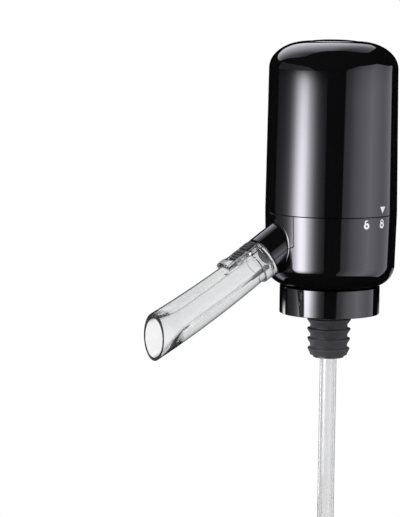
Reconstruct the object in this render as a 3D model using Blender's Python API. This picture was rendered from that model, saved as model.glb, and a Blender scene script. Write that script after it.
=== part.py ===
"""Electric wine aerator that stands on a bottle neck.

The seat of the bottle rim is the origin, the body's axis is +Z and the spout points to -X.
A battery drum round an air pump fills the turned body. The pump's air goes down past the
stopper into the bottle, and the wine comes up the middle and leaves by the slanted neck.
"""
import math

import bmesh
import bpy
from mathutils import Matrix, Vector

MM = 0.001

# Clearances shared by every joint between two pieces
FIT_GAP = 0.3 * MM
CUT_OVERRUN = 1.0 * MM
FACE_STEP = 0.1 * MM
WELD_DISTANCE = 0.001 * MM

# Number of sides on round pieces
BODY_SIDES = 32
WIDE_SIDES = 18
ROUND_SIDES = 16
CELL_SIDES = 10
HOSE_SIDES = 10
SMALL_SIDES = 8

# Bought pieces that set the size of the body
CELL_RADIUS = 5.25 * MM
CELL_LENGTH = 44.5 * MM
CELL_NUB_RADIUS = 1.9 * MM
CELL_NUB_HEIGHT = 0.9 * MM
CELL_COUNT = 6
PUMP_RADIUS = 11.4 * MM
PUMP_CAP_HEIGHT = 2.8 * MM
DIAPHRAGM_SHEET = 1.8 * MM
DIAPHRAGM_CUP_RADIUS = 2.9 * MM
DIAPHRAGM_CUP_HEIGHT = 2.2 * MM
DIAPHRAGM_CUP_COUNT = 3
PUMP_CHAMBER_HEIGHT = 8.0 * MM
PUMP_WALL = 1.5 * MM
CRANK_RADIUS = 4.6 * MM
CRANK_HEIGHT = 2.4 * MM
CRANK_PIN_RADIUS = 0.8 * MM
CRANK_PIN_LENGTH = 1.2 * MM
CRANK_THROW = 2.6 * MM
MOTOR_RADIUS = 10.2 * MM
MOTOR_LENGTH = 25.0 * MM
MOTOR_CAP_HEIGHT = 2.8 * MM
MOTOR_BOSS_RADIUS = 3.0 * MM
MOTOR_SHAFT_RADIUS = 1.0 * MM
MOTOR_SHAFT_DEPTH = 6.0 * MM
MOTOR_SLEEVE_LENGTH = 14.0 * MM
TERMINAL_RADIUS = 0.7 * MM
TERMINAL_HEIGHT = 1.4 * MM
TERMINAL_OFFSET = 6.0 * MM

# Rubber seat, collar and stopper at the bottle
SEAT_RADIUS = 18.6 * MM
SEAT_THICKNESS = 1.6 * MM
COLLAR_WALL = 2.25 * MM
COLLAR_WEB = 1.7 * MM
COLLAR_DROP = 8.0 * MM
COLLAR_EDGE = 0.8 * MM
CORE_RADIUS = 6.6 * MM
CORE_DEPTH = 27.0 * MM
CORE_FLANGE_RIM = 0.6 * MM
CORE_FLANGE_THICKNESS = 1.4 * MM
STOPPER_DEPTH = 26.0 * MM
STOPPER_WALL = 1.0 * MM
STOPPER_FIN_REACH = 1.7 * MM
STOPPER_FIN_TAPER = 0.7 * MM
STOPPER_FIN_COUNT = 6
STOPPER_FIN_TIP = 0.5 * MM
WINE_BORE_RADIUS = 2.0 * MM
WINE_NIPPLE_RADIUS = 3.0 * MM
WINE_NIPPLE_LENGTH = 9.5 * MM
AIR_BORE_RADIUS = 0.7 * MM
AIR_BORE_OFFSET = 5.2 * MM
AIR_NIPPLE_RADIUS = 1.5 * MM
AIR_NIPPLE_LENGTH = 6.0 * MM
AIR_CHANNEL_DEPTH = 0.7 * MM
AIR_CHANNEL_WIDTH = 1.0 * MM
HOSE_WALL = 1.0 * MM
AIR_HOSE_WALL = 0.8 * MM
HOSE_BEND_RADIUS = 10.0 * MM

# Telescopic intake tube
INTAKE_RADIUS = 3.5 * MM
INTAKE_WALL = 0.7 * MM
INTAKE_SOCKET_DEPTH = 13.0 * MM
INTAKE_UPPER_END = 150.0 * MM
INTAKE_LOWER_WALL = 0.6 * MM
INTAKE_TRAVEL = 120.0 * MM
INTAKE_OVERLAP = 12.0 * MM
INTAKE_REST_DROP = 8.0 * MM
GLAND_WALL = 0.7 * MM
GLAND_LENGTH = 7.5 * MM
GLAND_LIP = 1.5 * MM
GLAND_SEAL_ROOM = 1.9 * MM
GLAND_SEAL_SECTION = 0.35 * MM
FOOT_LENGTH = 8.0 * MM
FOOT_WALL = 0.6 * MM
FOOT_SLOT = 1.2 * MM
FOOT_SLOT_DEPTH = 2.0 * MM

# Lower housing
HOUSING_HEIGHT = 30.8 * MM
HOUSING_WALL = 2.0 * MM
HOUSING_FLOOR = 3.0 * MM
HOUSING_TAPER = 0.6 * MM
HOUSING_CORNER_RADIUS = 9.0 * MM
LEDGE_WIDTH = 3.3 * MM
LEDGE_HEIGHT = 2.5 * MM
REGISTER_WALL = 1.8 * MM
REGISTER_HEIGHT = 5.7 * MM
REGISTER_CLEARANCE = 2.0 * MM
BAYONET_FLANGE = 1.6 * MM
BAYONET_REACH = 1.4 * MM
PILLAR_RADIUS = 2.8 * MM
PILLAR_PLACE_RADIUS = 20.0 * MM
BOSS_RADIUS = 2.9 * MM
BOSS_HEIGHT = 4.6 * MM
BOSS_PLACE_RADIUS = 13.5 * MM
SCREW_RADIUS = 1.2 * MM
SCREW_HEAD_RADIUS = 2.4 * MM
SCREW_HEAD_HEIGHT = 1.6 * MM
COUNTERSINK_HEIGHT = 1.1 * MM
COLLAR_SCREW_LENGTH = 8.0 * MM
CARRIER_SCREW_LENGTH = 12.0 * MM

# Slanted neck and its cover
NECK_HEADROOM = 3.6 * MM
NECK_RADIUS = 9.1 * MM
NECK_LENGTH = 5.9 * MM
NECK_BORE_RADIUS = 5.8 * MM
NECK_SHOULDER = 2.0 * MM
NECK_SHOULDER_PLACE = 1.5 * MM
NECK_FILLET = 1.1 * MM
NECK_SLOPE = math.radians(33.4)
COVER_HALF_WIDTH = 11.3 * MM
COVER_CORNER_RISE = 2.4 * MM
COVER_NARROW_HALF_WIDTH = 9.9 * MM
NOZZLE_FLANGE = 1.7 * MM
NOZZLE_NIPPLE_LENGTH = 9.5 * MM
NOZZLE_TIP_LENGTH = 2.0 * MM
NOZZLE_BORE_RADIUS = 1.8 * MM

# Clear spout, its seal and its latch
SPOUT_REACH = 56.1 * MM
SPOUT_ROOT_RADIUS = 7.5 * MM
SPOUT_MOUTH_RADIUS = 8.9 * MM
SPOUT_BORE_RADIUS = 3.6 * MM
SPOUT_LIP = 1.1 * MM
SPOUT_CUP_LENGTH = 17.0 * MM
SPOUT_FLANGE_RADIUS = 8.7 * MM
SPOUT_FLANGE = 2.0 * MM
SPOUT_RING_RADIUS = 8.5 * MM
SPOUT_RING = 3.2 * MM
SPOUT_GROOVE = 0.5 * MM
SPOUT_GROOVE_DEPTH = 0.4 * MM
SPOUT_CURVE_RADIUS = 480.0 * MM
SEAL_SECTION = 0.45 * MM
SEAL_GROOVE_WIDTH = 1.5 * MM
SEAL_PLACE = 1.1 * MM
RAIL_HALF_WIDTH = 5.0 * MM
RAIL_HEIGHT = 8.2 * MM
RAIL_LENGTH = 17.7 * MM
NOSE_LENGTH = 4.8 * MM
NOSE_HEIGHT = 8.9 * MM
POCKET_FLOOR = 5.6 * MM
LATCH_HALF_WIDTH = 3.3 * MM
LATCH_LENGTH = 12.5 * MM
LATCH_PIVOT = 5.9 * MM
LATCH_PIVOT_HEIGHT = 6.9 * MM
LATCH_PIN_RADIUS = 0.7 * MM
LATCH_SWING = math.radians(4.0)
LATCH_UNDERSIDE = 6.6 * MM
LATCH_HUB_UNDERSIDE = 5.95 * MM
LATCH_HUB_HALF_LENGTH = 1.2 * MM
LATCH_PAD_TOP = 9.0 * MM
LATCH_PAD_DIP = 0.4 * MM
HOOK_HALF_WIDTH = 1.8 * MM
HOOK_BOTTOM = 6.8 * MM
HOOK_THICKNESS = 0.75 * MM
HOOK_REACH = 3.6 * MM
HOOK_TOOTH_LENGTH = 0.9 * MM
HOOK_TOOTH_DEPTH = 0.7 * MM
LATCH_SPRING_RADIUS = 1.2 * MM
LATCH_SPRING_WIRE = 0.25 * MM
LATCH_SPRING_LENGTH = 1.9 * MM
LATCH_SPRING_PLACE = 4.7 * MM
LATCH_SPRING_TURNS = 3

# Battery drum
CARRIER_FLOOR = 1.6 * MM
CARRIER_TOP = 1.6 * MM
CARRIER_CLEARANCE = 0.4 * MM
WELL_WALL = 0.95 * MM
WELL_CLEARANCE = 0.6 * MM
WELL_DROP = 4.7 * MM
WELL_LIP = 1.4 * MM
BAY_WALL = 1.2 * MM
CONTACT_PLATE = 0.4 * MM
CONTACT_WIDTH = 7.0 * MM
CONTACT_CONE_HEIGHT = 1.2 * MM
CONTACT_BUMP_HEIGHT = 0.6 * MM
CONTACT_CONE_RADIUS = 3.0 * MM
CONTACT_TIP_RADIUS = 1.3 * MM
CONTACT_END_ANGLE = math.radians(10.0)
CONTACT_ROOM = 0.7 * MM

# Circuit board and switch
BOARD_RADIUS = 16.0 * MM
BOARD_THICKNESS = 1.2 * MM
BOARD_SCREW_RADIUS = 0.9 * MM
BOARD_SCREW_HEAD_RADIUS = 1.5 * MM
BOARD_SCREW_HEAD_HEIGHT = 0.9 * MM
BOARD_SCREW_LENGTH = 3.0 * MM
BOARD_SCREW_PLACE = 14.2 * MM
SWITCH_WIDTH = 6.0 * MM
SWITCH_HEIGHT = 3.1 * MM
SWITCH_PLUNGER_RADIUS = 1.7 * MM
SWITCH_PLUNGER_HEIGHT = 1.0 * MM
CHIP_LENGTH = 5.0 * MM
CHIP_WIDTH = 4.0 * MM
CHIP_HEIGHT = 1.4 * MM
CHIP_PLACE = 9.0 * MM
LEAD_RADIUS = 0.6 * MM

# Push button and its guide in the top of the shell
BUTTON_RADIUS = 10.7 * MM
BUTTON_CROWN = 0.7 * MM
BUTTON_THICKNESS = 2.2 * MM
BUTTON_SKIRT = 1.5 * MM
BUTTON_FLANGE_REACH = 1.5 * MM
BUTTON_FLANGE = 1.2 * MM
BUTTON_STEM_RADIUS = 2.4 * MM
BUTTON_TRAVEL = 1.0 * MM
GUIDE_LIFT = 0.7 * MM
GUIDE_PLATE = 1.0 * MM
GUIDE_WALL = 1.6 * MM
GUIDE_EAR_RADIUS = 2.4 * MM
GUIDE_PIN_RADIUS = 1.1 * MM
GUIDE_PIN_DEPTH = 0.5 * MM
SPRING_ROOM = 4.5 * MM
SPRING_RADIUS = 5.5 * MM
SPRING_WIRE = 0.3 * MM
SPRING_TURNS = 3

# Upper shell
SHELL_WALL = 1.8 * MM
SHELL_TAPER = 0.7 * MM
SHOULDER_HEIGHT = 11.3 * MM
CELL_SIDE_ROOM = 2.25 * MM
LUG_REACH = 1.7 * MM
LUG_HEIGHT = 1.7 * MM
LUG_LIFT = 2.1 * MM
LUG_HALF_ANGLE = math.radians(8.0)
LUG_GAP_ANGLE = math.radians(1.5)
STOP_GAP_ANGLE = math.radians(0.6)
STOP_ANGLE = math.radians(3.0)
UNLOCK_ANGLE = math.radians(18.0)
LUG_COUNT = 3

# Radii worked out from the pump and the cells
WELL_RADIUS = PUMP_RADIUS + WELL_CLEARANCE
BAY_RADIUS = CELL_RADIUS + FIT_GAP
CELL_PLACE_RADIUS = WELL_RADIUS + WELL_WALL + BAY_RADIUS
SHELL_INNER_RADIUS = CELL_PLACE_RADIUS + CELL_RADIUS + CELL_SIDE_ROOM
BODY_RADIUS = SHELL_INNER_RADIUS + SHELL_WALL
SHOULDER_RADIUS = BODY_RADIUS - SHELL_TAPER
CARRIER_RADIUS = SHOULDER_RADIUS - SHELL_WALL - CARRIER_CLEARANCE
COLLAR_INNER_RADIUS = SEAT_RADIUS + FIT_GAP
COLLAR_RADIUS = COLLAR_INNER_RADIUS + COLLAR_WALL
REGISTER_RADIUS = SHELL_INNER_RADIUS - REGISTER_CLEARANCE
BAYONET_RADIUS = REGISTER_RADIUS + BAYONET_REACH
BUTTON_HOLE_RADIUS = BUTTON_RADIUS + FIT_GAP
BUTTON_FLANGE_RADIUS = BUTTON_RADIUS + BUTTON_FLANGE_REACH
STEM_HOLE_RADIUS = BUTTON_STEM_RADIUS + FIT_GAP
HOSE_INNER_RADIUS = WINE_NIPPLE_RADIUS + FIT_GAP
HOSE_RADIUS = HOSE_INNER_RADIUS + HOSE_WALL
AIR_HOSE_INNER_RADIUS = AIR_NIPPLE_RADIUS + FIT_GAP
AIR_HOSE_RADIUS = AIR_HOSE_INNER_RADIUS + AIR_HOSE_WALL
AIR_LINE_OFFSET = HOSE_RADIUS + FIT_GAP + AIR_HOSE_RADIUS + FIT_GAP
CORE_FLANGE_RADIUS = AIR_LINE_OFFSET + AIR_NIPPLE_RADIUS + CORE_FLANGE_RIM
SCREW_HOLE_RADIUS = SCREW_RADIUS + FIT_GAP

# Heights worked out upwards from the seat
WEB_BOTTOM = SEAT_THICKNESS + FIT_GAP
WEB_TOP = WEB_BOTTOM + COLLAR_WEB
HOUSING_BOTTOM = WEB_TOP + FIT_GAP
HOUSING_FLOOR_TOP = HOUSING_BOTTOM + HOUSING_FLOOR
SEAM = HOUSING_BOTTOM + HOUSING_HEIGHT
REGISTER_TOP = SEAM + REGISTER_HEIGHT
CARRIER_BOTTOM = REGISTER_TOP + FIT_GAP
CARRIER_FLOOR_TOP = CARRIER_BOTTOM + CARRIER_FLOOR
WELL_BOTTOM = CARRIER_BOTTOM - WELL_DROP
LOWER_CONTACT_BOTTOM = CARRIER_FLOOR_TOP + FIT_GAP
CELL_BOTTOM = LOWER_CONTACT_BOTTOM + CONTACT_PLATE + CONTACT_CONE_HEIGHT + FIT_GAP
CELL_TOP = CELL_BOTTOM + CELL_LENGTH
UPPER_CONTACT_BOTTOM = CELL_TOP + FIT_GAP + CONTACT_BUMP_HEIGHT
CARRIER_TOP_BOTTOM = UPPER_CONTACT_BOTTOM + CONTACT_PLATE + FIT_GAP
CARRIER_TOP_TOP = CARRIER_TOP_BOTTOM + CARRIER_TOP
PUMP_BOTTOM = WELL_BOTTOM + WELL_LIP + FIT_GAP
DIAPHRAGM_BOTTOM = PUMP_BOTTOM + PUMP_CAP_HEIGHT + FIT_GAP
CHAMBER_BOTTOM = DIAPHRAGM_BOTTOM + DIAPHRAGM_SHEET + FIT_GAP
CHAMBER_TOP = CHAMBER_BOTTOM + PUMP_CHAMBER_HEIGHT
MOTOR_BOTTOM = CHAMBER_TOP + FIT_GAP
MOTOR_TOP = MOTOR_BOTTOM + MOTOR_LENGTH
MOTOR_CAP_BOTTOM = MOTOR_TOP + FIT_GAP
MOTOR_CAP_TOP = MOTOR_CAP_BOTTOM + MOTOR_CAP_HEIGHT
CRANK_TOP = CHAMBER_TOP - PUMP_WALL - FIT_GAP - FIT_GAP
BOARD_BOTTOM = CARRIER_TOP_TOP + FIT_GAP
BOARD_TOP = BOARD_BOTTOM + BOARD_THICKNESS
SWITCH_BOTTOM = BOARD_TOP + FIT_GAP
SWITCH_TOP = SWITCH_BOTTOM + SWITCH_HEIGHT
PLUNGER_TOP = SWITCH_TOP + SWITCH_PLUNGER_HEIGHT
GUIDE_BOTTOM = PLUNGER_TOP + GUIDE_LIFT
GUIDE_TOP = GUIDE_BOTTOM + GUIDE_PLATE
BUTTON_UNDERSIDE = GUIDE_TOP + SPRING_ROOM
HOLE_RIM = BUTTON_UNDERSIDE + BUTTON_THICKNESS
TOP = HOLE_RIM + BUTTON_CROWN
SHOULDER = HOLE_RIM - SHOULDER_HEIGHT
SHELL_BOTTOM = SEAM + FIT_GAP
LUG_BOTTOM = SEAM + LUG_LIFT
LUG_TOP = LUG_BOTTOM + LUG_HEIGHT
STEM_BOTTOM = PLUNGER_TOP + BUTTON_TRAVEL + FIT_GAP

# The neck hangs below the seam. In its own frame X is its upper side and Z runs out along it
NECK_RISE = HOUSING_HEIGHT - NECK_HEADROOM - NECK_RADIUS / math.cos(NECK_SLOPE)
NECK_ROOT = Vector((-BODY_RADIUS, 0.0, HOUSING_BOTTOM + NECK_RISE))
NECK_FRAME = Matrix.Translation(NECK_ROOT) @ Matrix.Rotation(-(math.pi / 2 + NECK_SLOPE), 4, 'Y')
NOZZLE_BOTTOM = FIT_GAP - NECK_SHOULDER_PLACE
NOZZLE_TOP = NOZZLE_BOTTOM + NOZZLE_FLANGE
SHOULDER_BOTTOM = -NECK_SHOULDER_PLACE - NECK_SHOULDER
PLUG_START = NOZZLE_TOP + FIT_GAP
PLUG_RADIUS = NECK_BORE_RADIUS - FIT_GAP
FLANGE_START = NECK_LENGTH + FIT_GAP
FLANGE_END = FLANGE_START + SPOUT_FLANGE
RING_START = FLANGE_END + SPOUT_GROOVE
RING_END = RING_START + SPOUT_RING
SPOUT_STRAIGHT = RING_END
MOUTH_PLACE = SPOUT_REACH / math.cos(NECK_SLOPE)
NOZZLE_TIP_RADIUS = SPOUT_BORE_RADIUS - FIT_GAP

PLASTIC_BLACK = (0.012, 0.012, 0.013, 1.0)
PLASTIC_MATT = (0.03, 0.03, 0.032, 1.0)
PLASTIC_CLEAR = (0.9, 0.93, 0.95, 1.0)
PLASTIC_GREY = (0.35, 0.36, 0.38, 1.0)
RUBBER_GREY = (0.12, 0.12, 0.13, 1.0)
RUBBER_CLEAR = (0.75, 0.75, 0.73, 1.0)
STEEL = (0.6, 0.6, 0.6, 1.0)
NICKEL = (0.7, 0.68, 0.62, 1.0)
CELL_GREEN = (0.05, 0.22, 0.16, 1.0)
BOARD_GREEN = (0.02, 0.2, 0.08, 1.0)
WIRE_RED = (0.6, 0.02, 0.02, 1.0)
WIRE_BLACK = (0.02, 0.02, 0.02, 1.0)


def clear_scene():
    for item in list(bpy.data.objects):
        bpy.data.objects.remove(item, do_unlink=True)


def material(name, colour, roughness, metallic=0.0, transmission=0.0):
    look = bpy.data.materials.new(name)
    look.use_nodes = True
    shader = look.node_tree.nodes["Principled BSDF"]
    shader.inputs["Base Color"].default_value = colour
    shader.inputs["Roughness"].default_value = roughness
    shader.inputs["Metallic"].default_value = metallic
    shader.inputs["Transmission Weight"].default_value = transmission
    look.diffuse_color = colour
    return look


def link_mesh(name, shape, frame=None):
    """Turn a bmesh into an object that stands in the given frame."""
    bmesh.ops.recalc_face_normals(shape, faces=shape.faces)
    mesh = bpy.data.meshes.new(name)
    shape.to_mesh(mesh)
    shape.free()
    item = bpy.data.objects.new(name, mesh)
    bpy.context.scene.collection.objects.link(item)
    if frame is not None:
        item.matrix_world = frame
    return item


def turned(name, outline, sides, frame=None):
    """Turn a closed outline of (radius, height) points once round the Z axis."""
    shape = bmesh.new()
    corners = [shape.verts.new((radius, 0.0, height)) for radius, height in outline]
    edges = []
    for first, second in zip(corners, corners[1:] + corners[:1]):
        on_axis = first.co.x < WELD_DISTANCE and second.co.x < WELD_DISTANCE
        if not on_axis:
            edges.append(shape.edges.new((first, second)))
    bmesh.ops.spin(shape, geom=corners + edges, cent=(0, 0, 0), axis=(0, 0, 1),
                   angle=2 * math.pi, steps=sides, use_merge=True)
    bmesh.ops.remove_doubles(shape, verts=shape.verts, dist=WELD_DISTANCE)
    return link_mesh(name, shape, frame)


def cylinder(name, radius, bottom, top, sides, centre=(0.0, 0.0), frame=None):
    item = turned(name, [(0.0, bottom), (radius, bottom), (radius, top), (0.0, top)], sides, frame)
    shift(item, centre[0], centre[1])
    return item


def tube(name, inner, outer, bottom, top, sides, centre=(0.0, 0.0)):
    outline = [(inner, bottom), (outer, bottom), (outer, top), (inner, top)]
    item = turned(name, outline, sides)
    shift(item, centre[0], centre[1])
    return item


def shift(item, along_x, along_y=0.0, along_z=0.0):
    item.data.transform(Matrix.Translation((along_x, along_y, along_z)))


def prism(name, outline, bottom, top, frame=None):
    """Extrude a closed (x, y) outline from one height to another."""
    shape = bmesh.new()
    base = shape.faces.new([shape.verts.new((x, y, bottom)) for x, y in outline])
    grown = bmesh.ops.extrude_face_region(shape, geom=[base])
    raised = [part for part in grown["geom"] if isinstance(part, bmesh.types.BMVert)]
    bmesh.ops.translate(shape, verts=raised, vec=(0.0, 0.0, top - bottom))
    return link_mesh(name, shape, frame)


def block(name, low, high, frame=None):
    outline = [(low[0], low[1]), (high[0], low[1]), (high[0], high[1]), (low[0], high[1])]
    return prism(name, outline, low[2], high[2], frame)


def arc_points(radius, start, end, steps):
    angles = [start + (end - start) * step / steps for step in range(steps + 1)]
    return [(radius * math.cos(angle), radius * math.sin(angle)) for angle in angles]


def arc_block(name, inner, outer, bottom, top, middle, half_angle, steps=6):
    """A block bent round the Z axis."""
    outline = arc_points(outer, middle - half_angle, middle + half_angle, steps)
    outline += arc_points(inner, middle + half_angle, middle - half_angle, steps)
    return prism(name, outline, bottom, top)


def ellipse_points(centre_radius, centre_height, reach, rise, start, end, steps):
    """Points of an elliptical corner as (radius, height), angles from the outward direction."""
    points = []
    for step in range(steps + 1):
        angle = math.radians(start + (end - start) * step / steps)
        points.append((centre_radius + reach * math.cos(angle), centre_height + rise * math.sin(angle)))
    return points


def swept(name, path, inner, outer, sides):
    """A tube along a path in the XZ plane, with a bore where inner isn't zero."""
    shape = bmesh.new()
    rings = []
    for index, place in enumerate(path):
        before = path[max(index - 1, 0)]
        after = path[min(index + 1, len(path) - 1)]
        along = (after - before).normalized()
        across = Vector((0.0, 1.0, 0.0))
        up = across.cross(along)
        for radius in (outer, inner):
            ring = []
            for side in range(sides):
                angle = 2 * math.pi * side / sides
                offset = across * math.cos(angle) + up * math.sin(angle)
                ring.append(shape.verts.new(place + offset * radius))
            rings.append(ring)
    walls = rings[0::2] + rings[1::2][::-1]
    for first, second in zip(walls, walls[1:] + walls[:1]):
        for side in range(sides):
            following = (side + 1) % sides
            shape.faces.new((first[side], first[following], second[following], second[side]))
    return link_mesh(name, shape)


def coil(name, radius, wire, bottom, top, turns, sides=4, steps_per_turn=9):
    """A round-wire spring that winds up the Z axis."""
    shape = bmesh.new()
    steps = turns * steps_per_turn
    low = bottom + wire
    high = top - wire
    rings = []
    for step in range(steps + 1):
        angle = 2 * math.pi * step / steps_per_turn
        height = low + (high - low) * step / steps
        outward = Vector((math.cos(angle), math.sin(angle), 0.0))
        ring = []
        for side in range(sides):
            turn = 2 * math.pi * side / sides
            reach = radius + wire * math.cos(turn)
            lift = Vector((0.0, 0.0, height + wire * math.sin(turn)))
            ring.append(shape.verts.new(outward * reach + lift))
        rings.append(ring)
    for first, second in zip(rings, rings[1:]):
        for side in range(sides):
            following = (side + 1) % sides
            shape.faces.new((first[side], first[following], second[following], second[side]))
    shape.faces.new(rings[0])
    shape.faces.new(rings[-1])
    return link_mesh(name, shape)


def combine(target, tool, operation):
    """Apply one Boolean to the target and drop the tool."""
    tool.hide_render = True
    tool.display_type = 'WIRE'
    step = target.modifiers.new(operation.title(), 'BOOLEAN')
    step.operation = operation
    step.object = tool
    step.solver = 'EXACT'
    bpy.context.view_layer.update()
    seen = target.evaluated_get(bpy.context.evaluated_depsgraph_get())
    shape = bmesh.new()
    shape.from_mesh(bpy.data.meshes.new_from_object(seen))
    bmesh.ops.remove_doubles(shape, verts=shape.verts, dist=WELD_DISTANCE)
    bmesh.ops.dissolve_degenerate(shape, edges=shape.edges, dist=WELD_DISTANCE)
    target.modifiers.clear()
    shape.to_mesh(target.data)
    shape.free()
    bpy.data.objects.remove(tool, do_unlink=True)
    return target


def cut(target, tool):
    return combine(target, tool, 'DIFFERENCE')


def join(target, tool):
    return combine(target, tool, 'UNION')


def keep(target, tool):
    return combine(target, tool, 'INTERSECT')


def finish(item, look, smooth_angle=35.0):
    """Give a finished piece its material and smooth shading."""
    item.data.materials.clear()
    item.data.materials.append(look)
    item.data.shade_smooth()
    item.data.set_sharp_from_angle(angle=math.radians(smooth_angle))
    return item


def put_origin(item, place):
    """Move the object's origin to a place without moving its shape."""
    item.data.transform(Matrix.Translation(-place) @ item.matrix_world)
    item.matrix_world = Matrix.Translation(place)


def shell_radius(height, inset=0.0):
    """Radius of the upper shell's wall between the seam and the shoulder."""
    share = (height - SEAM) / (SHOULDER - SEAM)
    return BODY_RADIUS - SHELL_TAPER * share - inset


def dome_height(radius):
    """Height of the shell's inner surface over a radius on the dome."""
    reach = SHOULDER_RADIUS - SHELL_WALL - BUTTON_HOLE_RADIUS
    rise = SHOULDER_HEIGHT - SHELL_WALL
    share = max(radius - BUTTON_HOLE_RADIUS, 0.0) / reach
    return SHOULDER + rise * math.sqrt(max(1.0 - share * share, 0.0))


def polar(radius, angle):
    return (radius * math.cos(angle), radius * math.sin(angle))


def make_upper_shell(look):
    outline = [(shell_radius(SHELL_BOTTOM), SHELL_BOTTOM)]
    outline += ellipse_points(BUTTON_HOLE_RADIUS, SHOULDER, SHOULDER_RADIUS - BUTTON_HOLE_RADIUS,
                              SHOULDER_HEIGHT, 0.0, 90.0, 7)
    outline += ellipse_points(BUTTON_HOLE_RADIUS, SHOULDER,
                              SHOULDER_RADIUS - SHELL_WALL - BUTTON_HOLE_RADIUS,
                              SHOULDER_HEIGHT - SHELL_WALL, 90.0, 0.0, 5)
    outline.append((shell_radius(SHELL_BOTTOM, SHELL_WALL), SHELL_BOTTOM))
    shell = turned("upper_shell", outline, BODY_SIDES)
    for middle in lug_angles():
        lug = arc_block("lug", SHELL_INNER_RADIUS - LUG_REACH, SHELL_INNER_RADIUS + SHELL_WALL / 2,
                        LUG_BOTTOM, LUG_TOP, middle, LUG_HALF_ANGLE, 3)
        join(shell, lug)
    for angle in guide_angles():
        pin = cylinder("pin", GUIDE_PIN_RADIUS, GUIDE_BOTTOM - GUIDE_PIN_DEPTH,
                       dome_height(guide_pin_place()) + SHELL_WALL / 2, SMALL_SIDES,
                       polar(guide_pin_place(), angle))
        join(shell, pin)
    return finish(shell, look)


def lug_angles():
    return [math.pi / 3 + 2 * math.pi * index / LUG_COUNT for index in range(LUG_COUNT)]


def guide_angles():
    return [math.pi + 2 * math.pi * index / LUG_COUNT for index in range(LUG_COUNT)]


def guide_wall_radius():
    return BUTTON_FLANGE_RADIUS + FIT_GAP + FIT_GAP + GUIDE_WALL


def guide_pin_place():
    return guide_wall_radius() + GUIDE_PIN_RADIUS + FIT_GAP + FIT_GAP


def make_button_guide(look):
    outer = guide_wall_radius()
    inner = outer - GUIDE_WALL
    wall_top = dome_height(outer) - FIT_GAP
    outline = [(STEM_HOLE_RADIUS, GUIDE_BOTTOM), (outer, GUIDE_BOTTOM), (outer, wall_top),
               (inner, wall_top), (inner, GUIDE_TOP), (STEM_HOLE_RADIUS, GUIDE_TOP)]
    guide = turned("button_guide", outline, WIDE_SIDES)
    for angle in guide_angles():
        place = polar(guide_pin_place(), angle)
        join(guide, cylinder("ear", GUIDE_EAR_RADIUS, GUIDE_BOTTOM + FACE_STEP, GUIDE_TOP + FACE_STEP,
                             SMALL_SIDES, place))
        cut(guide, cylinder("hole", GUIDE_PIN_RADIUS + FIT_GAP, GUIDE_BOTTOM - CUT_OVERRUN,
                            GUIDE_TOP + CUT_OVERRUN, SMALL_SIDES, place))
    return finish(guide, look)


def make_power_button(look):
    flange_top = dome_height(BUTTON_FLANGE_RADIUS) - FIT_GAP
    flange_bottom = flange_top - BUTTON_FLANGE
    skirt_inner = BUTTON_RADIUS - BUTTON_SKIRT
    outline = [(0.0, STEM_BOTTOM), (BUTTON_STEM_RADIUS, STEM_BOTTOM),
               (BUTTON_STEM_RADIUS, BUTTON_UNDERSIDE), (skirt_inner, BUTTON_UNDERSIDE),
               (skirt_inner, flange_bottom), (BUTTON_FLANGE_RADIUS, flange_bottom),
               (BUTTON_FLANGE_RADIUS, flange_top), (BUTTON_RADIUS, flange_top)]
    outline += ellipse_points(0.0, HOLE_RIM, BUTTON_RADIUS, BUTTON_CROWN, 0.0, 90.0, 4)
    button = turned("power_button", outline, WIDE_SIDES)
    put_origin(button, Vector((0.0, 0.0, BUTTON_UNDERSIDE)))
    return finish(button, look)


def make_button_spring(look):
    spring = coil("button_spring", SPRING_RADIUS, SPRING_WIRE, GUIDE_TOP + FIT_GAP,
                  BUTTON_UNDERSIDE - FIT_GAP, SPRING_TURNS)
    return finish(spring, look)


def housing_outline():
    """Half section of the lower housing, from the port block's recess round to the floor."""
    corner_centre = HOUSING_BOTTOM + HOUSING_CORNER_RADIUS
    corner_outer = BODY_RADIUS - HOUSING_TAPER
    inner_corner = HOUSING_CORNER_RADIUS - HOUSING_WALL
    recess_radius = CORE_FLANGE_RADIUS + FIT_GAP
    recess_roof = HOUSING_BOTTOM + CORE_FLANGE_THICKNESS + FIT_GAP
    register_inner = REGISTER_RADIUS - REGISTER_WALL
    outline = [(0.0, recess_roof), (recess_radius, recess_roof), (recess_radius, HOUSING_BOTTOM)]
    outline += ellipse_points(corner_outer - HOUSING_CORNER_RADIUS, corner_centre,
                              HOUSING_CORNER_RADIUS, HOUSING_CORNER_RADIUS, -90.0, 0.0, 6)
    outline += [(BODY_RADIUS, SEAM), (REGISTER_RADIUS, SEAM), (REGISTER_RADIUS, REGISTER_TOP),
                (register_inner, REGISTER_TOP), (register_inner, SEAM - LEDGE_HEIGHT),
                (BODY_RADIUS - HOUSING_WALL, SEAM - LEDGE_HEIGHT - LEDGE_WIDTH / 2)]
    outline += ellipse_points(corner_outer - HOUSING_CORNER_RADIUS, HOUSING_FLOOR_TOP + inner_corner,
                              inner_corner, inner_corner, 0.0, -90.0, 4)
    outline.append((0.0, HOUSING_FLOOR_TOP))
    return outline


def wall_ring():
    """The part of the housing's wall that the neck cover is taken from."""
    corner_centre = HOUSING_BOTTOM + HOUSING_CORNER_RADIUS
    corner_outer = BODY_RADIUS - HOUSING_TAPER
    inner = BODY_RADIUS - HOUSING_WALL
    outline = [(corner_outer - HOUSING_WALL, corner_centre), (corner_outer, corner_centre),
               (BODY_RADIUS, SEAM), (inner, SEAM)]
    return turned("wall_ring", outline, BODY_SIDES)


def neck_sleeve(name, inner_end):
    """The neck's outside as a plain cylinder along the neck."""
    return cylinder(name, NECK_RADIUS, inner_end, NECK_LENGTH, WIDE_SIDES, frame=NECK_FRAME)


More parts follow.
